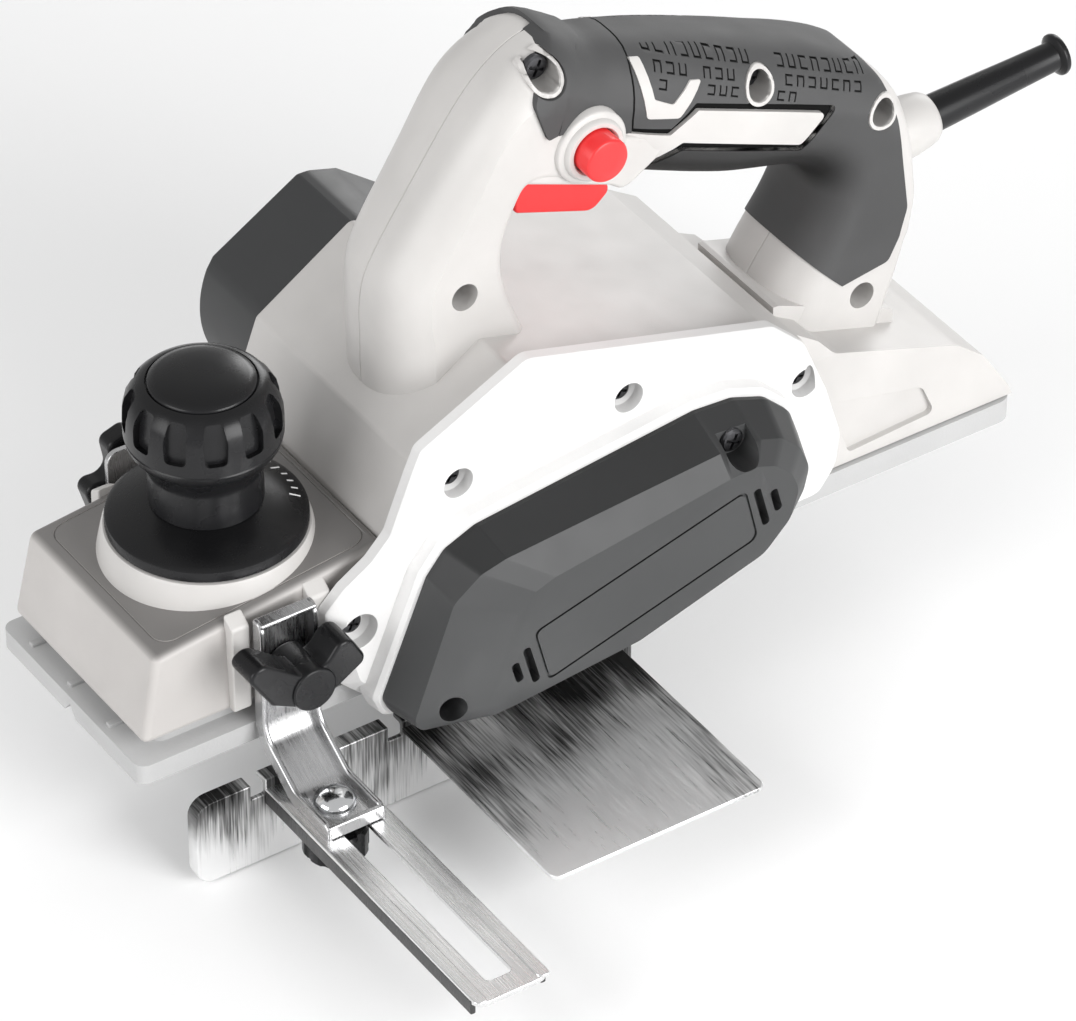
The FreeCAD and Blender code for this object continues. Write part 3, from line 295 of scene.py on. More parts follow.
# ---------------- materials
class Recipe:
    """A node material around one Principled shader, with texture in the object's own metres."""

    def __init__(self, name, roughness, metallic=0.0, **sockets):
        self.material = bpy.data.materials.new(name)
        self.material.use_nodes = True
        self.tree = self.material.node_tree
        self.shader = self.tree.nodes["Principled BSDF"]
        self.shader.inputs["Roughness"].default_value = roughness
        self.shader.inputs["Metallic"].default_value = metallic
        for socket, value in sockets.items():
            self.shader.inputs[socket.replace("_", " ")].default_value = value
        self.place = self.node("ShaderNodeTexCoord").outputs["Object"]

    def node(self, kind, **values):
        made = self.tree.nodes.new(kind)
        for key, value in values.items():
            setattr(made, key, value)
        return made

    def link(self, source, target):
        self.tree.links.new(source, target)

    def noise(self, size_mm, detail=3.0, stretch=(1, 1, 1)):
        """Noise whose features are about size_mm wide, stretched along an axis by a factor."""
        mapping = self.node("ShaderNodeMapping")
        mapping.inputs["Scale"].default_value = [1 / factor for factor in stretch]
        self.link(self.place, mapping.inputs["Vector"])
        noise = self.node("ShaderNodeTexNoise")
        noise.inputs["Scale"].default_value = 1 / (size_mm * MM)
        noise.inputs["Detail"].default_value = detail
        self.link(mapping.outputs["Vector"], noise.inputs["Vector"])
        return noise.outputs["Fac"]

    def blend(self, factor, stops):
        """A colour ramp over a factor. Stops are (position, colour)."""
        ramp = self.node("ShaderNodeValToRGB")
        while len(ramp.color_ramp.elements) < len(stops):
            ramp.color_ramp.elements.new(0.5)
        for element, (position, colour) in zip(ramp.color_ramp.elements, stops):
            element.position = position
            element.color = (*colour, 1)
        self.link(factor, ramp.inputs["Fac"])
        return ramp.outputs["Color"]

    def ranged(self, value, start, end, low=0.0, high=1.0):
        """Low up to the start, high from the end on, and even between. The end may be under the start."""
        scale = self.node("ShaderNodeMapRange")
        for socket, amount in (("From Min", start), ("From Max", end), ("To Min", low), ("To Max", high)):
            scale.inputs[socket].default_value = amount
        self.link(value, scale.inputs["Value"])
        return scale.outputs["Result"]

    def span(self, noise, low, high):
        return self.ranged(noise, 0.3, 0.7, low, high)

    def component(self, vector, axis):
        split = self.node("ShaderNodeSeparateXYZ")
        self.link(vector, split.inputs["Vector"])
        return split.outputs[axis]

    def facing(self, axis, low, high):
        """0 to 1 as the surface faces along the axis by low to high, in the object's own frame."""
        normal = self.node("ShaderNodeTexCoord").outputs["Normal"]
        return self.ranged(self.component(normal, axis), low, high)

    def tinted(self, source, factor, amount):
        """A colour multiplied by an amount where the factor is one."""
        mix = self.node("ShaderNodeMix", data_type="RGBA", blend_type="MULTIPLY")
        self.link(factor, mix.inputs[0])
        self.link(source, mix.inputs[6])
        mix.inputs[7].default_value = (amount, amount, amount, 1)
        return mix.outputs[2]

    def colour(self, output):
        self.link(output, self.shader.inputs["Base Color"])

    def roughness(self, output):
        self.link(output, self.shader.inputs["Roughness"])

    def bumps(self, *layers):
        """Layers are (factor, strength, depth in millimetres)."""
        normal = None
        for factor, strength, depth in layers:
            bump = self.node("ShaderNodeBump")
            bump.inputs["Strength"].default_value = strength
            bump.inputs["Distance"].default_value = depth * MM
            self.link(factor, bump.inputs["Height"])
            if normal:
                self.link(normal, bump.inputs["Normal"])
            normal = bump.outputs["Normal"]
        self.link(normal, self.shader.inputs["Normal"])


MOTTLE_MM, GLOSS_MM, DIMPLE_MM = 28, 11, 3.5


def shade(colour, factor):
    return tuple(min(1.0, channel * factor) for channel in colour)


def moulded(name, slot, colour, roughness, grain_mm=0.35, grain_depth=0.04, mottle=0.05, painted_top_shade=1.0,
            below=1.0, **sockets):
    """Moulded plastic or rubber: fine grain, faint mottling, uneven gloss, and painted shade that darkens the
    faces that look up and down."""
    recipe = Recipe(name, roughness, **sockets)
    tone = recipe.blend(recipe.noise(MOTTLE_MM, 4),
                        [(0.3, shade(colour, 1 - mottle)), (0.7, shade(colour, 1 + mottle))])
    # Painted shade: the colour is multiplied down on faces that look up, and by below on faces that look
    # down.
    if painted_top_shade != 1:
        tone = recipe.tinted(tone, recipe.facing("Z", 0.45, 0.95), painted_top_shade)
    if below != 1:
        tone = recipe.tinted(tone, recipe.facing("Z", 0.12, -0.5), below)
    recipe.colour(tone)
    recipe.roughness(recipe.span(recipe.noise(GLOSS_MM, 5), roughness - 0.02, roughness + 0.03))
    recipe.bumps((recipe.noise(grain_mm, 2), 0.55, grain_depth), (recipe.noise(DIMPLE_MM, 2), 0.12, 0.05))
    return slot, recipe.material


def metal(name, slot, colour, roughness, stretch=(1, 1, 1), line_mm=0.25, depth=0.01, metallic=1.0,
          **sockets):
    """Metal with fine lines along the stretched axis."""
    recipe = Recipe(name, roughness, metallic, **sockets)
    lines = recipe.noise(line_mm, 4, stretch)
    recipe.colour(recipe.blend(recipe.noise(18, 4),
                               [(0.3, shade(colour, 0.93)), (0.7, shade(colour, 1.04))]))
    recipe.roughness(recipe.span(lines, roughness - 0.08, roughness + 0.1))
    recipe.bumps((lines, 0.5, depth), (recipe.noise(6, 3), 0.1, 0.03))
    return slot, recipe.material


def steel_with_painted_light(name, slot, stretch, axis, dark_at, light_at):
    """Bright pressed steel: fine brushed lines, painted reflections as broad dark and bright areas, and
    painted shade towards one end of an axis.
    """
    recipe = Recipe(name, 0.34, 0.85)
    lines = recipe.noise(0.7, 3, stretch)
    # Painted reflections: broad noise that swings the colour from near black to near white.
    reflection_areas = recipe.noise(34, 2, (1, 1.5, 1.2))
    # Painted shade: the colour darkens towards the dark_at end of the axis.
    slope = recipe.ranged(recipe.component(recipe.place, axis), dark_at * MM, light_at * MM, 0.0, 0.32)
    factor = reflection_areas
    for weight, extra in ((0.42, lines), (1.0, slope)):
        adding = recipe.node("ShaderNodeMath", operation="MULTIPLY_ADD")
        adding.inputs[1].default_value = weight
        recipe.link(extra, adding.inputs[0])
        recipe.link(factor, adding.inputs[2])
        factor = adding.outputs[0]
    recipe.colour(recipe.blend(factor, [(0.62, (0.015, 0.015, 0.015)), (0.74, (0.20, 0.20, 0.20)),
                                        (0.86, (0.72, 0.72, 0.72)), (0.98, (0.92, 0.92, 0.92))]))
    recipe.roughness(recipe.span(lines, 0.26, 0.44))
    recipe.bumps((recipe.noise(0.35, 3, stretch), 0.5, 0.03))
    return slot, recipe.material


# Each look is the record's material slot that it belongs to, and its material.
CREAM = moulded("cream_plastic", "greige", (0.56, 0.545, 0.53), 0.42)
# WARM carries painted shade: its upward faces are darkened to 0.36.
WARM = moulded("warm_plastic", "greige", (0.49, 0.47, 0.455), 0.46, painted_top_shade=0.36)
CAST = moulded("cast_white", "cast_white", (0.74, 0.735, 0.73), 0.5, 0.9, 0.09, 0.03)
# DARK and BLACK carry painted shade: their upward faces are darkened.
DARK = moulded("dark_plastic", "dark_grey", (0.058, 0.059, 0.06), 0.42, painted_top_shade=0.3, Specular_IOR_Level=0.3)
BLACK = moulded("black_plastic", "black_plastic", (0.011, 0.011, 0.012), 0.27, 0.3, 0.03, painted_top_shade=0.5,
                Specular_IOR_Level=0.3)
# RUBBER carries painted shade: its underside is darkened to 0.16 and its top to 0.8.
RUBBER = moulded("grip_rubber", "rubber_grip", (0.07, 0.07, 0.071), 0.6, 0.28, 0.06, 0.06, painted_top_shade=0.8,
                 below=0.16, Specular_IOR_Level=0.35)
PORT = moulded("port_plastic", "dark_grey", (0.034, 0.035, 0.036), 0.45)
GROOVE = moulded("groove_shadow", "rubber_grip", (0.006, 0.006, 0.006), 0.8, Specular_IOR_Level=0.1)
RED = moulded("red_plastic", "red", (0.75, 0.028, 0.03), 0.3, 0.3, 0.015, 0.03)
WHITE_MARK = moulded("white_mark", "black_plastic", (0.85, 0.85, 0.85), 0.5)
CAST_SOLE = moulded("cast_shoe", "sole", (0.47, 0.47, 0.47), 0.5, 0.9, 0.12, 0.04)
SOLE = metal("machined_sole", "sole", (0.62, 0.63, 0.64), 0.38, (1, 60, 1), 0.18)
ZINC = metal("zinc_sheet", "zinc", (0.56, 0.56, 0.565), 0.27, (1, 14, 14), 0.6, 0.008)
# The fence and the wing plate carry painted reflections and painted shade in their colour.
FENCE = steel_with_painted_light("fence_painted_reflections", "zinc", (1, 26, 26), "Z", -6, -36)
WING = steel_with_painted_light("wing_painted_reflections", "zinc", (1, 26, 1), "Y", -62, -128)
ARM_STEEL = metal("brushed_arm", "zinc", (0.86, 0.86, 0.86), 0.26, (1, 60, 60), 0.5, 0.02)
RAIL_STEEL = metal("dark_rail", "zinc", (0.10, 0.10, 0.10), 0.3, (1, 1, 30), 0.4, 0.02)
CHROME = metal("chrome", "zinc", (0.82, 0.83, 0.84), 0.1, depth=0.002)
STEEL = metal("bright_steel", "steel", (0.56, 0.57, 0.58), 0.3, (1, 30, 1), 0.15)
DARK_STEEL = metal("dark_screw", "zinc", (0.09, 0.09, 0.095), 0.35)
BRASS = metal("brass", "brass", (0.70, 0.50, 0.22), 0.32)
COPPER = metal("copper", "copper", (0.66, 0.30, 0.17), 0.3, (1, 30, 1), 0.2)
CARBON = moulded("carbon", "carbon", (0.03, 0.03, 0.03), 0.7)
BELT = moulded("belt_rubber", "belt", (0.02, 0.02, 0.02), 0.7)


# ---------------- handle
# Each station across the handle: outer point, inner point, half width, and the radii of its corners: along
# the section and sideways at the outer edge, then the same at the inner edge.
HANDLE = [
    (105.9, 80.5, 153, 92, 22.4, 13, 21, 4, 6),
    (105.7, 90, 150.8, 97, 22.4, 13, 21, 4, 6),
    (105.7, 100, 148.4, 103.5, 22, 13, 20, 4, 6),
    (105.7, 110, 146.2, 111, 21.6, 12, 19, 4, 6),
    (107.6, 120.5, 144.8, 119, 21.3, 11, 17, 4, 6),
    (113.4, 131.2, 145, 126.5, 21.1, 10, 16, 4, 6),
    (121, 142.5, 146.8, 133.5, 21, 9, 15, 4, 6),
    (129, 154.1, 149.6, 140, 21, 8, 14, 4, 6),
    (136.7, 165, 152.4, 144.9, 21, 7, 13, 4, 6),
    (143.6, 173.6, 155.6, 146, 21, 7, 12, 4, 6),
    (150.2, 179.8, 159.4, 144.9, 21, 8, 13, 5, 7),
    (156.8, 184.2, 163.5, 142.6, 21, 10, 14, 6, 8),
    (163.4, 186.8, 168, 140.2, 21, 13, 16, 7, 9),
    (170, 186.9, 172.6, 138, 19.9, 15, 17, 8, 10),
    (176.4, 183.6, 177.6, 135.8, 19, 17, 17, 10, 11),
    (183.2, 179.8, 182.8, 133.6, 18.6, 18, 17, 12, 12),
    (190.8, 177.4, 188.4, 132, 18.9, 18, 17, 14, 14),
    (198.8, 174.6, 194.4, 130, 20, 19, 18, 17, 16),
    (207.8, 171.4, 201.5, 126.8, 20.6, 19, 18, 18, 17),
    (218.3, 167.4, 210, 122.8, 20.8, 19, 18, 18, 18),
    (229.4, 163, 219.5, 118.8, 20.8, 19, 18, 18, 18),
    (240.6, 158.4, 229.5, 115, 20.8, 19, 18, 18, 18),
    (251.6, 153.6, 240, 112, 20.8, 19, 18, 18, 18),
    (262, 148.8, 249.5, 109.6, 20.8, 18, 17, 17, 18),
    (271.8, 143.6, 257, 107, 20.8, 16, 16, 16, 18),
    (280.6, 138, 262, 103.6, 20.9, 14, 15, 16, 18),
    (288.2, 131, 265.2, 99.8, 21, 12, 13, 16, 18),
    (293.8, 122.6, 266.6, 95.4, 21, 10, 11, 16, 18),
    (297, 113, 266.2, 91, 21, 8, 10, 16, 18),
    (298.8, 103, 264.4, 86.6, 21, 7, 9, 16, 18),
    (300, 93.5, 261.6, 82.2, 21, 7, 9, 16, 18),
    (300.8, 84.4, 258.4, 77.8, 21, 7, 9, 16, 18),
    (299.6, 75, 255, 73.2, 21, 7, 9, 15, 18),
    (296.6, 65, 251.4, 68.2, 21.4, 6, 9, 15, 18),
    (292.8, 54, 248, 62.6, 21.8, 6, 9, 15, 18),
    (288, 41.6, 244.8, 56.2, 22.2, 6, 9, 15, 18),
    (286.6, 37.6, 243.4, 52.2, 22.3, 6, 9, 15, 18),
]
CORNER_STEPS = 8
SIDE_STEPS = 5


def spline(rows, steps):
    """Rows of numbers with smooth rows between them, along a Catmull-Rom curve."""
    out = []
    last = len(rows) - 1
    for index in range(last):
        p0, p1, p2, p3 = (rows[max(0, min(last, index + shift))] for shift in (-1, 0, 1, 2))
        for step in range(steps):
            t = step / steps
            out.append([0.5 * (2 * b + (c - a) * t + (2 * a - 5 * b + 4 * c - d) * t ** 2
                               + (3 * b - a - 3 * c + d) * t ** 3) for a, b, c, d in zip(p0, p1, p2, p3)])
    out.append(list(rows[last]))
    return out


def handle_ring(row, swell, seam):
    """One closed section of the handle, swollen by a distance, with the shells' joint as a fine groove."""
    outer_x, outer_z, inner_x, inner_z, width, out_u, out_v, in_u, in_v = row
    outer, inner = Vector((outer_x, outer_z)), Vector((inner_x, inner_z))
    middle, reach = (outer + inner) / 2, (outer - inner)
    half = reach.length / 2
    reach.normalize()
    half += swell
    width += swell
    profile = [(half, 0)] if not seam else [(half - 0.45, 0), (half, 0.3)]
    profile.append((half, (width - out_v) * 0.5))
    sweep = math.radians(62 if inner_x < 165 or inner_z < 70 else 86)
    for step in range(CORNER_STEPS + 1):
        angle = sweep * step / CORNER_STEPS
        profile.append((half - out_u * (1 - math.cos(angle)) / (1 - math.cos(sweep)),
                        width - out_v + out_v * math.sin(angle) / math.sin(sweep)))
    for step in range(1, SIDE_STEPS):
        share = step / SIDE_STEPS
        profile.append(((half - out_u) * (1 - share) - (half - in_u) * share, width))
    for step in range(CORNER_STEPS + 1):
        angle = math.pi / 2 * step / CORNER_STEPS
        profile.append((-half + in_u - in_u * math.sin(angle), width - in_v + in_v * math.cos(angle)))
    profile.append((-half, (width - in_v) * 0.5))
    profile += [(-half, 0)] if not seam else [(-half, 0.3), (-half + 0.45, 0)]
    ring = profile + [(u, -y) for u, y in reversed(profile[1:-1])]
    return [(middle.x + reach.x * u, y, middle.y + reach.y * u) for u, y in ring]


def handle_skin(name, swell, seam=False):
    return loft(name, [handle_ring(row, swell, seam) for row in spline(HANDLE, 3)])


NEAR, FAR, WHOLE = (-40, -8), (8, 40), (-40, 40)
BOLT_WELL, GRIP_WELL, RING_RIM = 4.6, 6, 5.7
GRIP_BOLTS = HANDLE_BOLTS[1:4]
COLLAR = [
    (159, 162, 1), (154.4, 175.1, 4), (158.4, 181.8, 4), (163.8, 186.6, 3), (168.4, 188.4), (168.6, 204),
    (182.4, 204), (182.2, 182, 1), (174.9, 183.6, 4), (168.7, 179.6, 5), (164.6, 170, 8), (162.4, 162.6),
]
GROOVE_LINE = [(191, 150), (191.1, 155.2), (191.8, 162), (192.9, 170), (194.3, 175), (194.8, 212)]
COLLAR_FAR = [
    (159, 162, 1), (156.4, 172, 4), (163, 181, 4), (167.6, 184.6, 2), (168.6, 189), (168.6, 204),
    *COLLAR[6:],
]
GRIP_FRONT = [
    (183.4, 212), (183.4, 181.6, 1), (175.7, 182.8, 4), (169.4, 178.8, 5), (165.4, 169.8, 8),
    (163.4, 161.6), (172, 160.4), (188, 151.6, 3), *[(x - 0.3, z) for x, z in GROOVE_LINE],
]
GRIP_REAR = [
    *[(x + 0.3, z) for x, z in reversed(GROOVE_LINE)], (193.5, 134), (205, 116), (245, 93), (256.2, 76.2),
    (269.2, 62.8), (286.9, 65.3, 3), (291.2, 72.8, 5), (294, 83, 8), (291.6, 101, 20), (289.6, 117, 20),
    (286.4, 131.4, 12), (276, 148.5, 10), (262, 175), (240, 212),
]
GRIP_BED = [
    (176, 212), (176, 190), (171, 183), (166, 177), (162.6, 169), (161, 163), (172, 159.6), (190, 151.4),
    (198, 140), (205.8, 116.6), (245.3, 94), (256.8, 77), (269.4, 63.8), (286.2, 66), (290.4, 73),
    (293.2, 83), (290.8, 101), (288.8, 117), (285.6, 131), (275, 148), (261, 175), (239, 212),
]
BADGE = [
    (178, 152), (189.9, 151, 1), (203.8, 145.6, 1), (214.1, 150.8, 1), (262, 131.2, 1.5), (252.4, 122.9, 2),
    (208.4, 141.2, 1.5), (198.8, 137.6, 1), (194.8, 136.2), (178, 130),
]
BADGE_WELL = [
    (190.6, 152.6), (204.2, 147.9), (213.4, 153.6, 1), (266.4, 132.2, 1.5), (253, 119.9, 2),
    (208.6, 138, 2), (198.8, 134.2, 1), (190.6, 130.5),
]
VEE = [
    (193.8, 173.2, 0.4), (197.6, 172, 0.4), (198.6, 160.2, 1.2), (204.8, 156.4, 1.2), (212.6, 160.9, 0.4),
    (216.6, 159.6, 0.4), (206.8, 151, 1.5), (195.6, 154.6, 1.5),
]
CHEEK = [
    (153, 156), (151.4, 147.6), (182.7, 135), (186.8, 132, 3), (190.2, 132.6, 3), (199.4, 138.2),
    (202, 141), (200, 146), (186, 152),
]
MARK_STEP, MARK_ROW = 4.7, 4.4
MARK_LENGTHWAYS, MARK_DOWN = Vector((0.907, -0.421)), Vector((-0.421, -0.907))


def conforming(name, outline, swell, span, steps=4):
    """A piece of the handle's skin, swollen by a distance and trimmed to an outline seen from the side."""
    skin = handle_skin(name, swell)
    return kept_in(skin, prism("trim", rounded(outline, steps), *span))


def grip_marks(span):
    """Rows of small open squares, each turned a quarter from the one before."""
    far, near = 1.5, 0.9
    shape = [(-far, -far), (far, -far), (far, far), (near, far), (near, -near), (-near, -near), (-near, far),
             (-far, far)]
    marks = []
    for row in range(5):
        for step in range(19):
            middle = (Vector((202.2, 173)) + MARK_LENGTHWAYS * MARK_STEP * (step - 0.4 * (row % 2))
                      + MARK_DOWN * MARK_ROW * row)
            by_bolt = any((middle - Vector(bolt)).length < 8.2 for bolt in HANDLE_BOLTS[2:4])
            by_badge = middle.y < 155.8 - 0.404 * (middle.x - 213.4)
            by_vee = middle.x < 218.5 and middle.y < 161.5 + max(0, 0.3 * (middle.x - 204))
            if by_bolt or by_badge or by_vee or middle.x < 201 or middle.x > 280:
                continue
            mark = prism("mark", [(middle.x + u, middle.y + v) for u, v in shape], *span)
            marks.append(turned_about(mark, "Y", 90 * (step + row) + 25, (middle.x, 0, middle.y)))
    return joined("marks", marks)


def grip_bolt_rods(radius, low, high):
    return joined("rods", [rod("rod", x, z, radius, low, high) for x, z in GRIP_BOLTS])


def screw_heads(name, node, places, y, radius):
    heads = [pan_head(x, z, y, radius) for x, z in places]
    put(smoothed(joined(name, heads), 30), "body", DARK_STEEL, node)


def handle_shell():
    """Both halves of the shell with their bolt wells, and the raised cheek round the trigger."""
    shell = handle_skin("handle_shell", 0, seam=True)
    wells = [rod("well", x, z, BOLT_WELL, -30, -10) for x, z in HANDLE_BOLTS]
    far_wells = [rod("well", x, z, 2.4, 16, 30) for x, z in HANDLE_BOLTS]
    trigger_gap = prism("gap", [(157.5, 100), (195, 100), (195, 148), (157.5, 148)], -8.1, 8.1)
    button_well = rod("well", *LOCK, 7.7, -40, -14)
    badge_wells = [prism("well", rounded(BADGE_WELL, 3), *on_side(side, 12, 30)) for side in (-1, 1)]
    cheek = softened(prism("cheek", rounded(CHEEK), -20.4, 20.4), 1.4, 4)
    cut(cheek, trigger_gap, keep=True)
    cut(shell, *wells, *far_wells, trigger_gap, button_well, *badge_wells)
    put(smoothed(cheek, 30), "body", CREAM)
    put(smoothed(shell, 24), "body", CREAM, "handle_left", "handle_right")


def grip():
    """The rubber over the shell: a near-black bed that paints shadow into the joints, a collar, a front and a
    marked rear.
    """
    bed = conforming("grip_bed", GRIP_BED, 0.12, WHOLE)
    collar = conforming("near_collar", COLLAR, 1.4, (-40, 0.6))
    far_collar = conforming("far_collar", COLLAR_FAR, 1.4, (0.6, 40))
    front = conforming("grip_front", GRIP_FRONT, 0.35, WHOLE)
    rear = conforming("grip_rear", GRIP_REAR, 0.45, WHOLE)
    for piece in (bed, collar, front, rear):
        cut(piece, grip_bolt_rods(GRIP_WELL, *NEAR))
    for piece in (bed, front):
        cut(piece, rod("well", *LOCK, 12.6, -40, 0))
    for side in (-1, 1):
        for piece in (bed, rear):
            cut(piece, prism("well", rounded(BADGE_WELL, 3), *on_side(side, 12, 40)))
    cut(rear, grip_marks(NEAR), grip_marks(FAR))
    put(smoothed(rear), "body", RUBBER, "grip_left", "grip_right")
    put(smoothed(front), "body", RUBBER)
    put(smoothed(joined("grip_collar", [collar, far_collar])), "body", RUBBER)
    # The bed is painted shadow that shows through the gaps between the rubber pieces.
    put(smoothed(bed), "body", GROOVE)


def handle_trim():
    """The plastic inlays in their wells, whose near-black floors are painted shadow, the rings round the bolt
    wells and the screw heads.
    """
    for side, span in (("near", NEAR), ("far", FAR)):
        inlay = joined(f"inlays_{side}", [conforming("vee", VEE, 0.8, span),
                                          conforming("badge", BADGE, 0.45, span)])
        put(softened(inlay, 0.25, 2), "body", CREAM, *(["grip_inlays"] if side == "near" else []))
        floor = conforming(f"badge_well_{side}", inset(BADGE_WELL, -0.4), -0.9, span)
        # The well floor is painted shadow.
        put(smoothed(floor), "body", GROOVE)

    rings = kept_in(handle_skin("bolt_rings", 0.7), grip_bolt_rods(RING_RIM, *NEAR))
    cut(rings, grip_bolt_rods(BOLT_WELL, -50, 0))
    put(softened(rings, 0.3, 2, 40), "body", CREAM)
    screw_heads("handle_screw_heads", "handle_screws", HANDLE_BOLTS, -13, 4.2)


def pan_head(x, z, y, radius):
    """A low domed screw head along y, facing -y, with a cross slot."""
    head = lathe("head", [(radius * 0.5, y), (radius * 0.85, y + 0.25), (radius, y + 0.9),
                          (radius, y + 2.4)], (x, z), "y", 32)
    for angle in (25, 115):
        length, width = radius * 0.68, radius * 0.13
        bar = block("slot", (x - length, y - 1, z - width), (x + length, y + 1, z + width))
        cut(head, turned_about(bar, "Y", angle, (x, y, z)))
    return head


def lock_and_trigger():
    x, z = LOCK
    ring = lathe("lock_ring", [(7.8, -14), (7.8, -24.2), (8.3, -24.8), (9.6, -24.8), (10.2, -24.2),
                               (10.4, -22.9), (11.9, -22.6), (12.4, -22), (12.5, -14)], (x, z), "y", 72)
    put(smoothed(ring), "body", CREAM)
    button = lathe("lock_button", [(7.3, -14), (7.3, -30.2), (7, -30.75), (6.5, -31), (3, -31)],
                   (x, z), "y", 72)
    put(smoothed(button), "lock", RED, "lock_button")
    outline = rounded([(157.8, 152, 2), (156.8, 127.2, 2), (185, 116.8, 5), (192, 122.8, 3), (188, 128, 1),
                       (183, 138), (168, 143, 2), (165, 152, 2)], 6)
    trigger = prism("trigger_blade", outline, -7.5, 7.5)
    put(softened(trigger, 1.6, 4), "trigger", RED, "trigger")


# ---------------- housings
HOUSING = [
    (90.3, 10.6), (241, 10.6), (241, 65.6, 2), (229, 73.3, 3), (134, 99.3, 3), (99.5, 76.8, 3),
    (90.3, 51.4, 3),
]
PLATE = [
    (77, 2.5, 2), (244, 7, 4), (251.5, 17, 4), (252.8, 28, 8), (247, 47, 20), (238, 68.5, 10),
    (226, 79.9, 6), (136, 105.6, 6), (98, 87, 4), (94.5, 79, 10), (86.8, 59.6, 6), (80, 52.6, 6),
    (70.2, 46.6, 4), (63.4, 40, 3), (63.4, 30.5, 4), (66, 20, 4), (68.4, 11, 4),
]
COVER = [
    (79, 2.6, 4), (91, 2.1, 6), (160, 5, 10), (214, 22.5, 12), (226.5, 33, 8), (228.2, 44, 8), (224, 56, 8),
    (215, 64.6, 8), (203, 69.2, 6), (189, 70.2, 8), (110, 61.2, 6), (99, 56.6, 5), (92.6, 48.8, 5),
    (76.2, 9, 4),
]
COVER_SHOULDER = [
    (81, 3.4, 4), (91, 3.2, 6), (160, 6.5, 10), (211, 24, 12), (221, 33.5, 8), (223.2, 43, 8),
    (219.5, 52, 8), (212.5, 58.6, 8), (204, 61.6, 6), (190, 62.4, 8), (112, 56.4, 6), (103, 54.2, 5),
    (93.4, 47.2, 5), (79, 8.4, 4),
]
COVER_FACE = [
    (102.6, 3.2, 3), (112, 3.6, 6), (157, 8, 10), (203, 21.6, 10), (212.4, 31, 8), (215.6, 41, 8),
    (212.6, 48.5, 7), (206.5, 54, 7), (199.8, 56.6, 5), (190, 56.2, 8), (126, 46.8, 6), (118.5, 44.2, 4),
    (112.6, 38.6, 4), (101, 7.6, 3),
]
HOUSING_SPAN = (-41.2, 50.6)
PLATE_BACK, COVER_BACK = -41.3, -55.9


def motor_housing():
    body = prism("motor_housing_body", rounded(HOUSING, 4), *HOUSING_SPAN)
    cut(body, rod("duct", *MOTOR, 26, 48, 60))
    put(softened(body, 1.5, 4), "body", CREAM, "motor_housing")


def motor_end_cover():
    """The dished end cap with twelve radial vents, and the four screws round it."""
    x, z = MOTOR
    cap = lathe("end_cap", [(26, 50.4), (29.6, 50.4), (30, 51), (30, 56.6), (29.4, 57.6), (28.6, 58),
                            (24.6, 58), (23.9, 57.4), (23.4, 55.2), (11, 55.2), (10.2, 56.2), (9, 56.6),
                            (1, 56.8)], (x, z), "y")
    vents = []
    for step in range(12):
        vent = prism("vent", rounded_box(x + 14.2, z - 1.4, x + 23, z + 1.4, 1.3, 4), 49, 60)
        vents.append(turned_about(vent, "Y", 30 * step + 15, (x, 0, z)))
    cut(cap, joined("vents", vents))
    put(softened(cap, 0.35, 2), "body", DARK, "motor_end_cover")
    heads = []
    screw_circle = 27
    for angle in (45, 135, 225, 315):
        turn = math.radians(angle)
        place = (x + screw_circle * math.cos(turn), z + screw_circle * math.sin(turn))
        heads.append(turned_about(pan_head(*place, -59.8, 2.6), "Z", 180, (place[0], 0, 0)))
    put(smoothed(joined("end_cap_screw_heads", heads), 30), "body", DARK_STEEL, "housing_screws")


def layered(name, layers):
    """A skin over outlines, each of them (points, place along y)."""
    return loft(name, [[along("y", u, v, y) for u, v in rounded(points)] for points, y in layers])


def side_plate():
    """The cast plate over the belt drive, with a seat for the belt cover and the screws' wells."""
    plate = layered("side_plate_casting", [(PLATE, PLATE_BACK), (PLATE, -45.2), (inset(PLATE, 0.6), -46.2),
                                           (inset(PLATE, 4.6), -50)])
    fused(plate, layered("pad", [(inset(COVER, -3), -48), (inset(COVER, -2.3), -54.4),
                                 (inset(COVER, -1.2), -55.8)]))
    for x, z in PLATE_SCREWS:
        radius = 5.2 if x > 80 else 6.3
        cut(plate, lathe("well", [(radius, -60), (radius, -45.6), (radius - 1.4, -43.4)], (x, z), "y", 40))
    put(softened(plate, 0.7, 3, 24), "body", CAST, "side_plate")
    screw_heads("plate_screw_heads", "side_plate_screws", PLATE_SCREWS, -45.6, 3.7)


def belt_cover():
    """The faceted cover with a blank badge line, slanted vents and two screws."""
    cover = layered("belt_cover_shell", [(COVER, COVER_BACK), (COVER, -57.6), (COVER_SHOULDER, -70),
                                         (COVER_FACE, -75.5)])
    x, z = COVER_SCREWS[0]
    cut(cover, rod("well", x, z, 4.4, -80, -64))
    x, z = COVER_SCREWS[1]
    pocket = [(x - 5.6, z - 5.2, 5), (x + 5.6, z - 5.2, 5), (x + 5.6, z + 14), (x - 5.6, z + 14)]
    cut(cover, prism("well", rounded(pocket, 6), -80, -64.5))
    badge = [(123.6, 7.8, 2), (200.6, 28.9, 3), (195.6, 49.4, 2.5), (118.2, 28.9, 2.5)]
    groove = prism("groove", rounded(badge, 4), -80, -74.6)
    cut(groove, prism("island", rounded(inset(badge, 0.75), 4), -90, -70))
    vents = []
    for x, z, length in ((112.4, 16, 8), (117.4, 16.7, 15), (201.5, 40.4, 15.5), (206.9, 40.8, 9)):
        outline = rounded_box(x - 1.4, z - length / 2, x + 1.4, z + length / 2, 1.2, 4)
        vents.append(turned_about(prism("vent", outline, -80, -70.5), "Y", -15, (x, 0, z)))
    softened(cover, 1.1, 4, 20)
    cut(cover, groove, *vents)
    put(smoothed(cover, 30), "body", DARK, "belt_cover")
    screw_heads("cover_screw_heads", "belt_cover_screws", COVER_SCREWS, -66.4, 4)


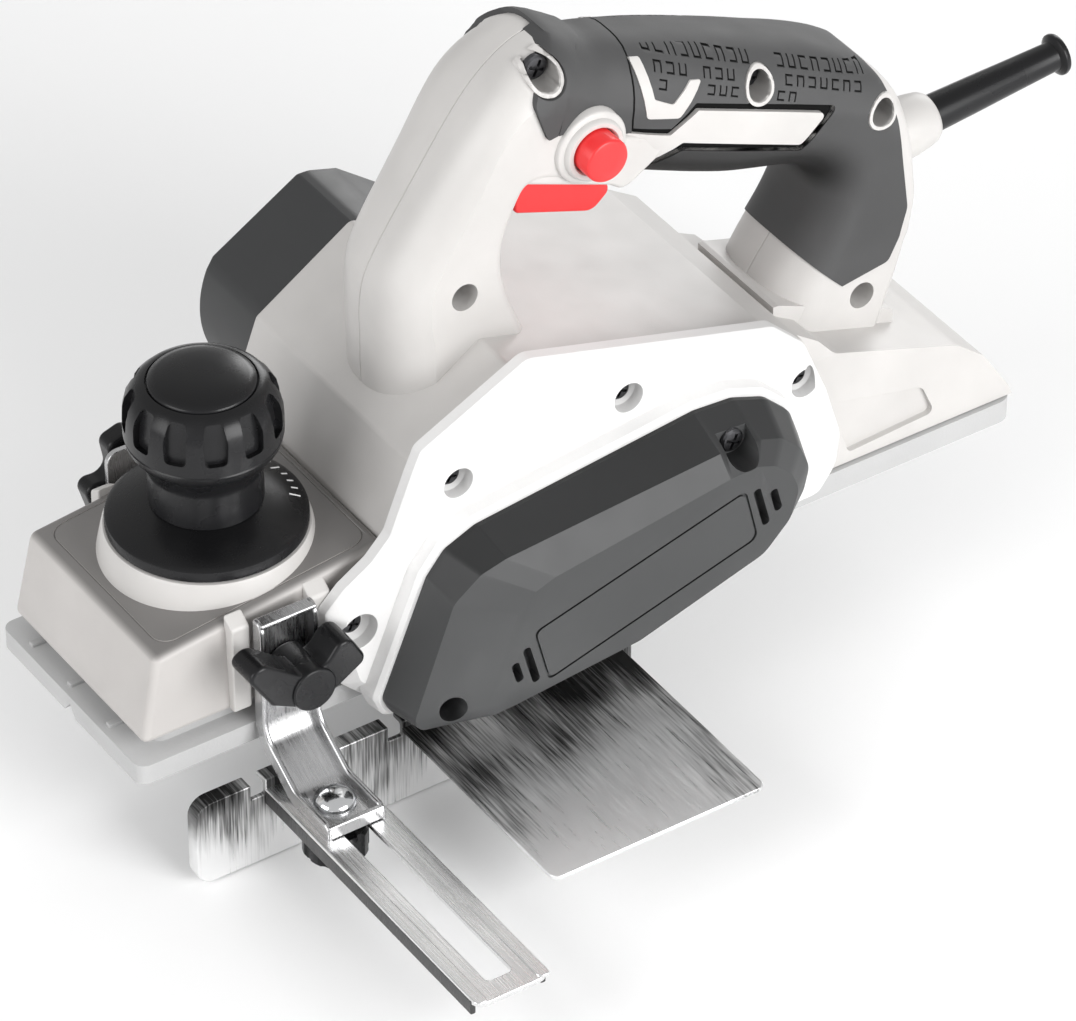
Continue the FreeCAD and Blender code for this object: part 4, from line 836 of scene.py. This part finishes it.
def rear_cover():
    """The low cover behind the motor, with the handle's pedestal and a shallow panel on each flank."""
    side = rounded([(241.3, 8.4), (325, 8.4), (323.6, 12, 2), (314, 27, 5), (304, 34.8, 12), (257, 50.3, 6),
                    (252, 56, 3), (241.3, 62.6)], 6)
    cover = prism("rear_cover_shell", side, -39.6, 39.6)
    widths = [(-39.5, 7), (39.5, 7), (39, 14), (35.6, 50), (31, 64), (-31, 64), (-35.6, 50), (-39, 14)]
    kept_in(cover, prism("trim", widths, 230, 330, "x"))
    pedestal = [(244, 40), (290.5, 36), (290.5, 44.4, 2), (252, 61.4, 2), (246, 64, 2), (244, 64)]
    fused(cover, prism("pedestal", rounded(pedestal, 4), -20.5, 20.5))
    for side_sign in (-1, 1):
        panel = rounded([(255, 32.5, 2), (261, 12, 2), (294.5, 13.8, 2), (290, 24.6, 3)], 4)
        cut(cover, prism("panel", panel, *on_side(side_sign, 36.9, 45)))
    put(softened(cover, 1.2, 4, 24), "body", CREAM, "rear_cover")


def front_cover():
    """The box over the front shoe, with a fine line round its sloping top and two clamped ribs a side."""
    side = rounded([(3.2, 11.6), (90, 11.6), (90, 51.1), (9.2, 41.6)], 4)
    shell = prism("front_cover_shell", side, -39, 39)
    kept_in(shell, prism("trim", [(-38.5, 11), (38.5, 11), (36.4, 55), (-36.4, 55)], 0, 95, "x"))
    softened(shell, 2.6, 5)
    cut(shell, prism("cavity", [(6.4, 5), (87, 5), (87, 30), (9.4, 30)], -34.5, 34.5))
    ribs = []
    for side_sign in (-1, 1):
        for x_low, x_high in ((33.6, 39.8), (61, 68.4)):
            outline = rounded([(36, 12.4), (41, 12.4, 1), (41, 44, 2), (36, 47.2)], 4)
            rib = prism("rib", [(side_sign * u, v) for u, v in outline], x_low, x_high, "x")
            ribs.append(softened(rib, 0.6, 3))
    slope = math.degrees(math.atan2(51.1 - 41.6, 90 - 9.2))
    panel_middle = (49.6, 0, 46.35)
    groove = prism("groove", rounded_box(13.2, -33.4, 87.6, 33.4, 6, 6), 45.95, 47.5, "z")
    cut(groove, prism("groove", rounded_box(13.7, -32.9, 87.1, 32.9, 5.5, 6), 45, 48.5, "z"))
    cut(shell, turned_about(groove, "Y", -slope, panel_middle))
    put(weighted(smoothed(shell, 30)), "body", WARM, "front_cover")
    put(joined("front_cover_ribs", ribs), "body", CREAM)


# ---------------- depth control
def dial():
    """The collar, and the conical dial on it."""
    collar = lathe("collar_ring", [(26, 38.6), (34.4, 38.6), (34.2, 41), (32.1, 51.4), (31.5, 52.3),
                                   (26, 52.3)], (KNOB_X, 0))
    put(smoothed(collar, 30), "body", CREAM, "knob_collar")
    disc = lathe("dial_disc", [(12, 52.6), (30.6, 52.6), (31, 53), (31, 55.6), (30.8, 56.2),
                               (30.2, 56.7), (29.2, 57.1), (17.4, 61.9)], (KNOB_X, 0))
    put(smoothed(disc, 30), "depth_control", BLACK, "depth_dial")


def knob():
    """The waisted knob with twelve finger pockets and a cap disc."""
    body = lathe("knob_body", [(17.2, 61.6), (17.6, 62.2), (17.6, 73.6), (18.1, 75.6), (19.1, 77.7),
                               (20.6, 80), (22.5, 82.4), (23.6, 84.2), (24, 86), (23.7, 86.4),
                               (23.7, 86.7), (24.2, 87.1), (24.2, 92), (24, 96), (23.2, 99.4),
                               (21.6, 102.2), (19.6, 104.2), (18, 105), (17.1, 105.2), (17.1, 103.6)],
                 (KNOB_X, 0), steps=144)
    pockets = []
    for step in range(12):
        outline = rounded([(-3.3, 90.3, 1.5), (3.3, 90.3, 1.5), (3.8, 97.5, 1.5), (2.7, 103.6, 1.6),
                           (-2.7, 103.6, 1.6), (-3.8, 97.5, 1.5)], 4)
        pocket = turned_about(prism("pocket", outline, 22, 29, "x"), "Y", -9, (22, 0, 90.3))
        around = Matrix.Rotation(math.radians(30 * step + 8), 4, "Z")
        pocket.data.transform(Matrix.Translation((KNOB_X, 0, 0)) @ around)
        pockets.append(pocket)
    cut(body, joined("pockets", pockets))
    put(softened(body, 0.55, 3, 30), "depth_control", BLACK, "depth_knob")
    cap = lathe("knob_cap_disc", [(16.3, 103.5), (16.6, 105.2), (16.2, 105.9), (14, 106.9), (10, 107.9),
                                  (5, 108.4), (1.2, 108.5)], (KNOB_X, 0))
    put(smoothed(cap), "depth_control", BLACK, "knob_cap")


def dial_marks():
    marks = []
    cone_slope = math.degrees(math.atan2(61.9 - 57.1, 29.2 - 17.4))
    for step in range(9):
        reach = 3.6 if step % 4 == 0 else 2.2
        tick = block("tick", (KNOB_X + 28.4 - reach, -0.28, 57), (KNOB_X + 28.4, 0.28, 57.2))
        turned_about(tick, "Y", cone_slope, (KNOB_X + 29.2, 0, 57.1))
        marks.append(turned_about(tick, "Z", step * 8 - 24, (KNOB_X, 0, 57)))
    put(joined("dial_marks", marks), "depth_control", WHITE_MARK)


# ---------------- shoe
def front_shoe():
    """The front shoe: a rimmed plate with a raised inner wall that slides inside the front cover."""
    low, top = -0.75, 6.25
    length = 103.8
    outline = rounded([(0, -41, 4), (length, -41), (length, 41), (0, 41, 4)], 6)
    shoe = prism("front_shoe_plate", outline, low, top, "z")
    cut(shoe, rod("space", DRUM[0], DRUM[1] - SHOE_TRAVEL, 24.4, -60, 60, steps=96))
    cut(shoe, prism("groove", [(-4, low - 1), (4, low - 1), (0, low + 4)], -5, 120, "x"))
    softened(shoe, 0.8, 3)
    outline = rounded([(9.6, -33.6, 5), (82, -33.6), (82, 33.6), (9.6, 33.6, 5)])
    wall = prism("wall", outline, top - 0.5, 13.2, "z")
    outline = rounded([(12.4, -31, 4), (90, -31), (90, 31), (12.4, 31, 4)])
    cut(wall, prism("space", outline, top - 2, 20, "z"))
    boss = rod("boss", KNOB_X, 0, 10, top - 1, 24, "z")
    bore = rod("bore", KNOB_X, 0, SPINDLE_BORE, low - 2, 30, "z")
    cut(boss, bore, keep=True)
    cut(shoe, bore)
    pieces = [shoe, softened(wall, 0.5, 3), softened(boss, 0.6, 3)]
    for y in (-18.5, 4.3, 27):
        pieces.append(softened(block("rib", (2.4, y - 1.2, top - 0.4), (7.4, y + 1.2, 7.4)), 0.4, 2))
    for y in SPRING_Y:
        pieces.append(softened(rod("post", SPRING_X, y, POST_RADIUS, top - 1, top + 27, "z"), 0.3, 3))
    put(joined("front_shoe_casting", pieces), "shoe", CAST_SOLE, "front_shoe")


# ---------------- guides
NEAR_WING_Z, FAR_WING_Z = 27.2, 33
BRACKET = (KNOB_X - 10.2, KNOB_X + 10.2)
ARM = (KNOB_X - 13, KNOB_X + 13)
ARM_TOP, ARM_END, FENCE_FACE = -12.1, -167, -51
CLAMP_Y = -69.5


def wing_head(name, outline, y_low, y_high, z, disc_end):
    """A bow-tie of two thick wings around a hub, whose round end stands a little proud."""
    wings = softened(prism("wings", rounded(outline, 6), y_low, y_high), 1.2, 4)
    hub = softened(rod("hub", KNOB_X, z, 7.5, *sorted((disc_end, math.copysign(43.7, disc_end))), steps=64),
                   0.8, 3)
    stem = rod("stem", KNOB_X, z, 2.9, *sorted((math.copysign(34, disc_end), math.copysign(45, disc_end))),
               steps=32)
    return joined(name, [wings, hub, stem])


def guide_bracket():
    """The pressed bracket: a bent floor between two raised rims, closed at both ends."""
    floor_end, top_end = -82.3, 46.3
    web = [(-41.3, 46), (-43.3, 46), (-43.3, 2.3, 9), (-61.7, -9.8, 8), (-82, -9.8), (-82, -11.8),
           (-61, -11.8, 10), (-41.3, 1.2, 11)]
    rim = [(-41.4, 46.4, 1), (-44.6, 46.4, 2), (-46.4, 44, 2), (-46.4, 4.3, 9), (-63, -6.6, 7),
           (-80, -6.6, 2), (-82.3, -8, 1.5), (-82.3, -11.9), (-61, -11.9, 10), (-41.4, 1.2, 11)]
    low, high = BRACKET
    floor = prism("floor", rounded(web, 6), low + 0.6, high - 0.6, "x")
    half_hole = 4.1
    square = block("hole", (KNOB_X - half_hole, CLAMP_Y - half_hole, -15),
                   (KNOB_X + half_hole, CLAMP_Y + half_hole, -5))
    cut(floor, rod("hole", KNOB_X, NEAR_WING_Z, 3.4, -50, -38), square)
    pieces = [softened(floor, 0.25, 2)]
    for start in (low, high - 1.9):
        pieces.append(softened(prism("rim", rounded(rim, 6), start, start + 1.9, "x"), 0.7, 3))
    for corner, other in (((low + 0.4, floor_end, -11.8), (high - 0.4, -80.4, -6.9)),
                          ((low + 0.4, -46.2, 44.5), (high - 0.4, -41.4, top_end))):
        pieces.append(softened(block("end", corner, other), 0.6, 3))
    put(joined("guide_bracket_pressing", pieces), "body", ZINC, "guide_bracket")


def clamp_bolt_and_nut():
    """The domed bolt through the bracket and the arm, and its knurled nut below."""
    dome = lathe("bolt_dome", [(6.7, -9.75), (6.75, -9.2), (6.4, -8.2), (5.6, -7.3), (4.3, -6.5),
                               (2.6, -6), (0.4, -5.8)], (KNOB_X, CLAMP_Y), steps=72)
    shank = rod("shank", KNOB_X, CLAMP_Y, 4, -26.5, -9, "z")
    put(smoothed(joined("bolt_dome_and_shank", [smoothed(dome, 50), shank]), 50), "body", CHROME,
        "guide_clamp_bolt")
    nut = lathe("nut", [(4.3, -14.2), (6.6, -14.2), (7, -14.6), (7, -17.6), (9.4, -18.2), (10.2, -19.2),
                        (10.2, -27.2), (9.4, -28.4), (4.3, -28.5)], (KNOB_X, CLAMP_Y), steps=120)
    grips = [rod("grip", x, y, 2, -32, -15, "z", 24) for x, y in circle(KNOB_X, CLAMP_Y, 11, 10)]
    cut(nut, joined("grips", grips))
    put(softened(nut, 0.4, 2, 35), "guide_nut", BLACK, "guide_knob_nut")


def wing_bolts():
    """The two wing bolts that hold the guide bracket and the rebate stop."""
    near = [(44.6, 22, 3), (50.4, 19.5, 6), (56.4, 22.2, 3), (69.6, 30.2, 3), (62.3, 43.3, 4),
            (54.8, 33.8, 5), (46.2, 33.8, 5), (33.4, 43.8, 4), (27.6, 40.4, 3), (36.2, 26.6, 4)]
    put(wing_head("bracket_wing_head", near, -59.4, -47.5, NEAR_WING_Z, -60.4), "bracket_wing", BLACK,
        "bracket_wing_bolt")
    far = [(56.6, 27, 3), (57.6, 36, 4), (52.6, 56.5, 3), (43, 53.5, 3), (45.4, 40, 4), (34, 41, 3),
           (38.4, 26, 3), (46, 26.5, 4)]
    put(wing_head("stop_wing_head", far, 45.8, 52.6, FAR_WING_Z, 53.4), "stop_wing", BLACK,
        "stop_wing_bolt")


def guide_fence():
    """The pressed fence: a rimmed face, a slotted arm with raised borders and a wing plate."""
    gauge = 1.8
    outline = [(13, -39.5, 6), (171, -39.5, 6), (171, -8.5, 6), (13, -8.5, 6)]
    tray = prism("fence_tray", rounded(outline, 6), FENCE_FACE, FENCE_FACE + 5.5)
    cut(tray, prism("hollow", rounded(inset(outline, gauge), 6), FENCE_FACE + gauge, FENCE_FACE + 12))
    reliefs = [block("relief", (x - 2.5, FENCE_FACE - 2, -14), (x + 2.5, FENCE_FACE + 10, -7.5))
               for x in (34.9, 84)]
    cut(tray, *reliefs)
    left, right = ARM
    arm = prism("arm", rounded([(left, ARM_END, 4), (right, ARM_END, 4), (right, FENCE_FACE + 0.5),
                                (left, FENCE_FACE + 0.5)], 6), ARM_TOP - gauge, ARM_TOP, "z")
    half = 4.5
    slot = rounded([(KNOB_X - half, -159.5, 1.5), (KNOB_X + half, -159.5, 1.5), (KNOB_X + half, -63, 4),
                    (KNOB_X - half, -63, 4)], 4)
    cut(arm, prism("slot", slot, -20, 0, "z"))
    put(softened(tray, 0.5, 3), "fence", FENCE)
    pieces = [softened(arm, 0.4, 3)]
    for low, high in ((left, left + 4.2), (right - 4.2, right)):
        border = [(low, ARM_END + 0.1, 2), (high, ARM_END + 0.1, 1), (high, -58, 1), (low, -58, 1)]
        border = prism("border", rounded(border, 4), ARM_TOP - 0.5, ARM_TOP + 0.55, "z")
        pieces.append(softened(border, 0.4, 3))
    put(joined("fence_arm", pieces), "fence", ARM_STEEL, "guide_fence")
    rails = [softened(block("rail", (low, ARM_END + 3, ARM_TOP - 5.6),
                            (low + gauge, FENCE_FACE + 0.5, ARM_TOP - 0.3)), 0.4, 2)
             for low in (left - 0.15, right - gauge + 0.15)]
    put(joined("fence_rails", rails), "fence", RAIL_STEEL)
    wing = prism("wing", rounded([(86.5, -134, 3), (163.5, -134, 3), (163.5, FENCE_FACE + 0.5),
                                  (86.5, FENCE_FACE + 0.5)], 6), -12.6, -11.1, "z")
    put(softened(wing, 0.35, 3), "fence", WING)


def rebate_stop():
    """The slotted plate on the far side, with its foot turned outwards."""
    low, high = BRACKET
    web = prism("web", rounded([(low, 4), (high, 4), (high, 54, 4), (low, 54, 4)], 6), 41.4, 43.4)
    cut(web, prism("slot", rounded_box(KNOB_X - 3.2, 19.6, KNOB_X + 3.2, 40.4, 3, 5), 40, 45))
    foot = prism("foot", rounded([(low, 41.4), (high, 41.4), (high, 56, 4), (low, 56, 4)], 6), 4, 6, "z")
    put(joined("rebate_stop_plate", [softened(web, 0.4, 3), softened(foot, 0.4, 3)]), "stop", ZINC,
        "rebate_stop")


def shoe_springs():
    """The shoe's two coil springs."""
    coils = []
    turns, steps, wire, reach = 5, 24, 0.7, 5.6
    foot, height = 7.1, 25.1
    for y in SPRING_Y:
        rings = []
        for step in range(turns * steps + 1):
            turn = 2 * math.pi * step / steps
            outward = Vector((math.cos(turn), math.sin(turn), 0))
            middle = Vector((SPRING_X, y, foot + height * step / (turns * steps))) + outward * reach
            rings.append([middle + outward * u + Vector((0, 0, v)) for u, v in circle(0, 0, wire, 8)])
        coils.append(loft("coil", rings))
    coil_pair = smoothed(joined("shoe_spring_pair", coils), 60)
    put(coil_pair, "body", STEEL, "shoe_springs")
    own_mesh(coil_pair)


def chip_outlet():
    """The round outlet with flats trimmed off it, and the bore of its port."""
    x, z = OUTLET
    flats = [(94.5, 15.5), (179.5, 15.5), (179.5, 70), (150.5, 92.3), (137.5, 96.3), (105, 76.7),
             (94.5, 60)]
    body = prism("chip_outlet_body", circle(x, z, 37.5, 120), HOUSING_SPAN[1], 84.5)
    kept_in(body, prism("trim", flats, 40, 100))
    cut(body, rod("port", x, z, 17.5, 55, 100, steps=72))
    put(softened(body, 1.5, 4), "body", PORT, "chip_outlet")


def cord_fittings():
    """The collar behind the handle and the flared guard that leans up out of it."""
    lean = math.radians(4.6)
    start = Vector((284, 0, 93.6))
    way = Vector((math.cos(lean), 0, math.sin(lean)))
    side, up = Vector((0, 1, 0)), Vector((-math.sin(lean), 0, math.cos(lean)))

    def around(name, profile):
        return loft(name, [[start + way * distance + side * u + up * v for u, v in circle(0, 0, radius, 64)]
                           for radius, distance in profile])

    collar = around("cord_collar_ring", [(9.6, 6), (10, 12), (10, 20), (9.9, 24), (9.3, 28.4),
                                         (8.6, 31.6), (7.6, 33.2), (6.4, 33.6)])
    put(smoothed(collar), "body", CREAM, "cord_collar")
    guard = around("cord_guard_sleeve", [(6.2, 20), (6.2, 34), (5.8, 50), (5.3, 66), (4.9, 80.6),
                                         (5, 81.4), (6.2, 82), (6.9, 82.6), (7, 83.4), (6.6, 84.3),
                                         (3.7, 84.5), (3.6, 70)])
    put(smoothed(guard), "body", BLACK, "cord_guard")


# ---------------- scene
FLOOR_GAP, FLOOR_HALF = 0.0005, 9
WORLD_STRENGTH = 0.58
LIGHTS = [
    ("key", (0.35, -1.7, 0.75), 1.2, 33), ("side", (-1.6, -0.1, 0.8), 1.0, 12),
    ("back", (1.7, 1.25, 0.75), 1.1, 17),
]
LIT_POINT = Vector((0, 0, 0.08))
CAMERA_PLACE, CAMERA_DIRECTION = (-1.0061, -1.4248, 1.3651), Vector((0.4342, 0.6511, -0.6225))
SENSOR_WIDTH, FOCAL_LENGTH = 36, 234.2


def carried_over():
    """The looks of the CAD nodes that stay: the cast frame and what is inside."""
    slots = {entry["node"]: entry["material_slot"] for entry in frame["record"]["subparts"]}
    looks = dict([CAST, CREAM, DARK, BLACK, RUBBER, RED, SOLE, ZINC, STEEL, BRASS, COPPER, CARBON, BELT])
    for name, node in frame["nodes"].items():
        node.data.materials.clear()
        node.data.materials.append(CAST_SOLE[1] if name == "main_frame" else looks[slots[name]])
        smoothed(node, 30)


def studio():
    floor_z = CAD_BOX[0][2] - FLOOR_GAP
    mesh = bpy.data.meshes.new("floor")
    corners = [(u * FLOOR_HALF, v * FLOOR_HALF, floor_z) for u, v in ((-1, -1), (1, -1), (1, 1), (-1, 1))]
    mesh.from_pydata(corners, [], [(0, 1, 2, 3)])
    floor = bpy.data.objects.new("floor", mesh)
    bpy.context.scene.collection.objects.link(floor)
    pale = Recipe("pale_floor", 0.9)
    pale.colour(pale.blend(pale.noise(400, 2), [(0.3, (0.90, 0.90, 0.90)), (0.7, (0.93, 0.93, 0.93))]))
    mesh.materials.append(pale.material)

    world = bpy.data.worlds.new("studio")
    world.use_nodes = True
    background = world.node_tree.nodes["Background"]
    background.inputs["Color"].default_value = (1, 1, 1, 1)
    background.inputs["Strength"].default_value = WORLD_STRENGTH
    bpy.context.scene.world = world
    bpy.context.scene.view_settings.view_transform = "Standard"
    for name, spot, size, power in LIGHTS:
        light = bpy.data.lights.new(name, "AREA")
        light.size = size
        light.energy = power
        lamp = bpy.data.objects.new(name, light)
        lamp.location = spot
        lamp.rotation_euler = (LIT_POINT - lamp.location).to_track_quat("-Z", "Y").to_euler()
        bpy.context.scene.collection.objects.link(lamp)


def camera():
    lens = bpy.data.cameras.new("camera")
    lens.sensor_width = SENSOR_WIDTH
    lens.lens = FOCAL_LENGTH
    lens.clip_end = 50
    view = bpy.data.objects.new("camera", lens)
    view.location = CAMERA_PLACE
    view.rotation_euler = CAMERA_DIRECTION.to_track_quat("-Z", "Y").to_euler()
    bpy.context.scene.collection.objects.link(view)
    bpy.context.scene.camera = view


carried_over()
handle_shell()
grip()
handle_trim()
lock_and_trigger()
motor_housing()
motor_end_cover()
side_plate()
belt_cover()
rear_cover()
front_cover()
dial()
knob()
dial_marks()
front_shoe()
guide_bracket()
clamp_bolt_and_nut()
wing_bolts()
guide_fence()
rebate_stop()
shoe_springs()
chip_outlet()
cord_fittings()
studio()
camera()
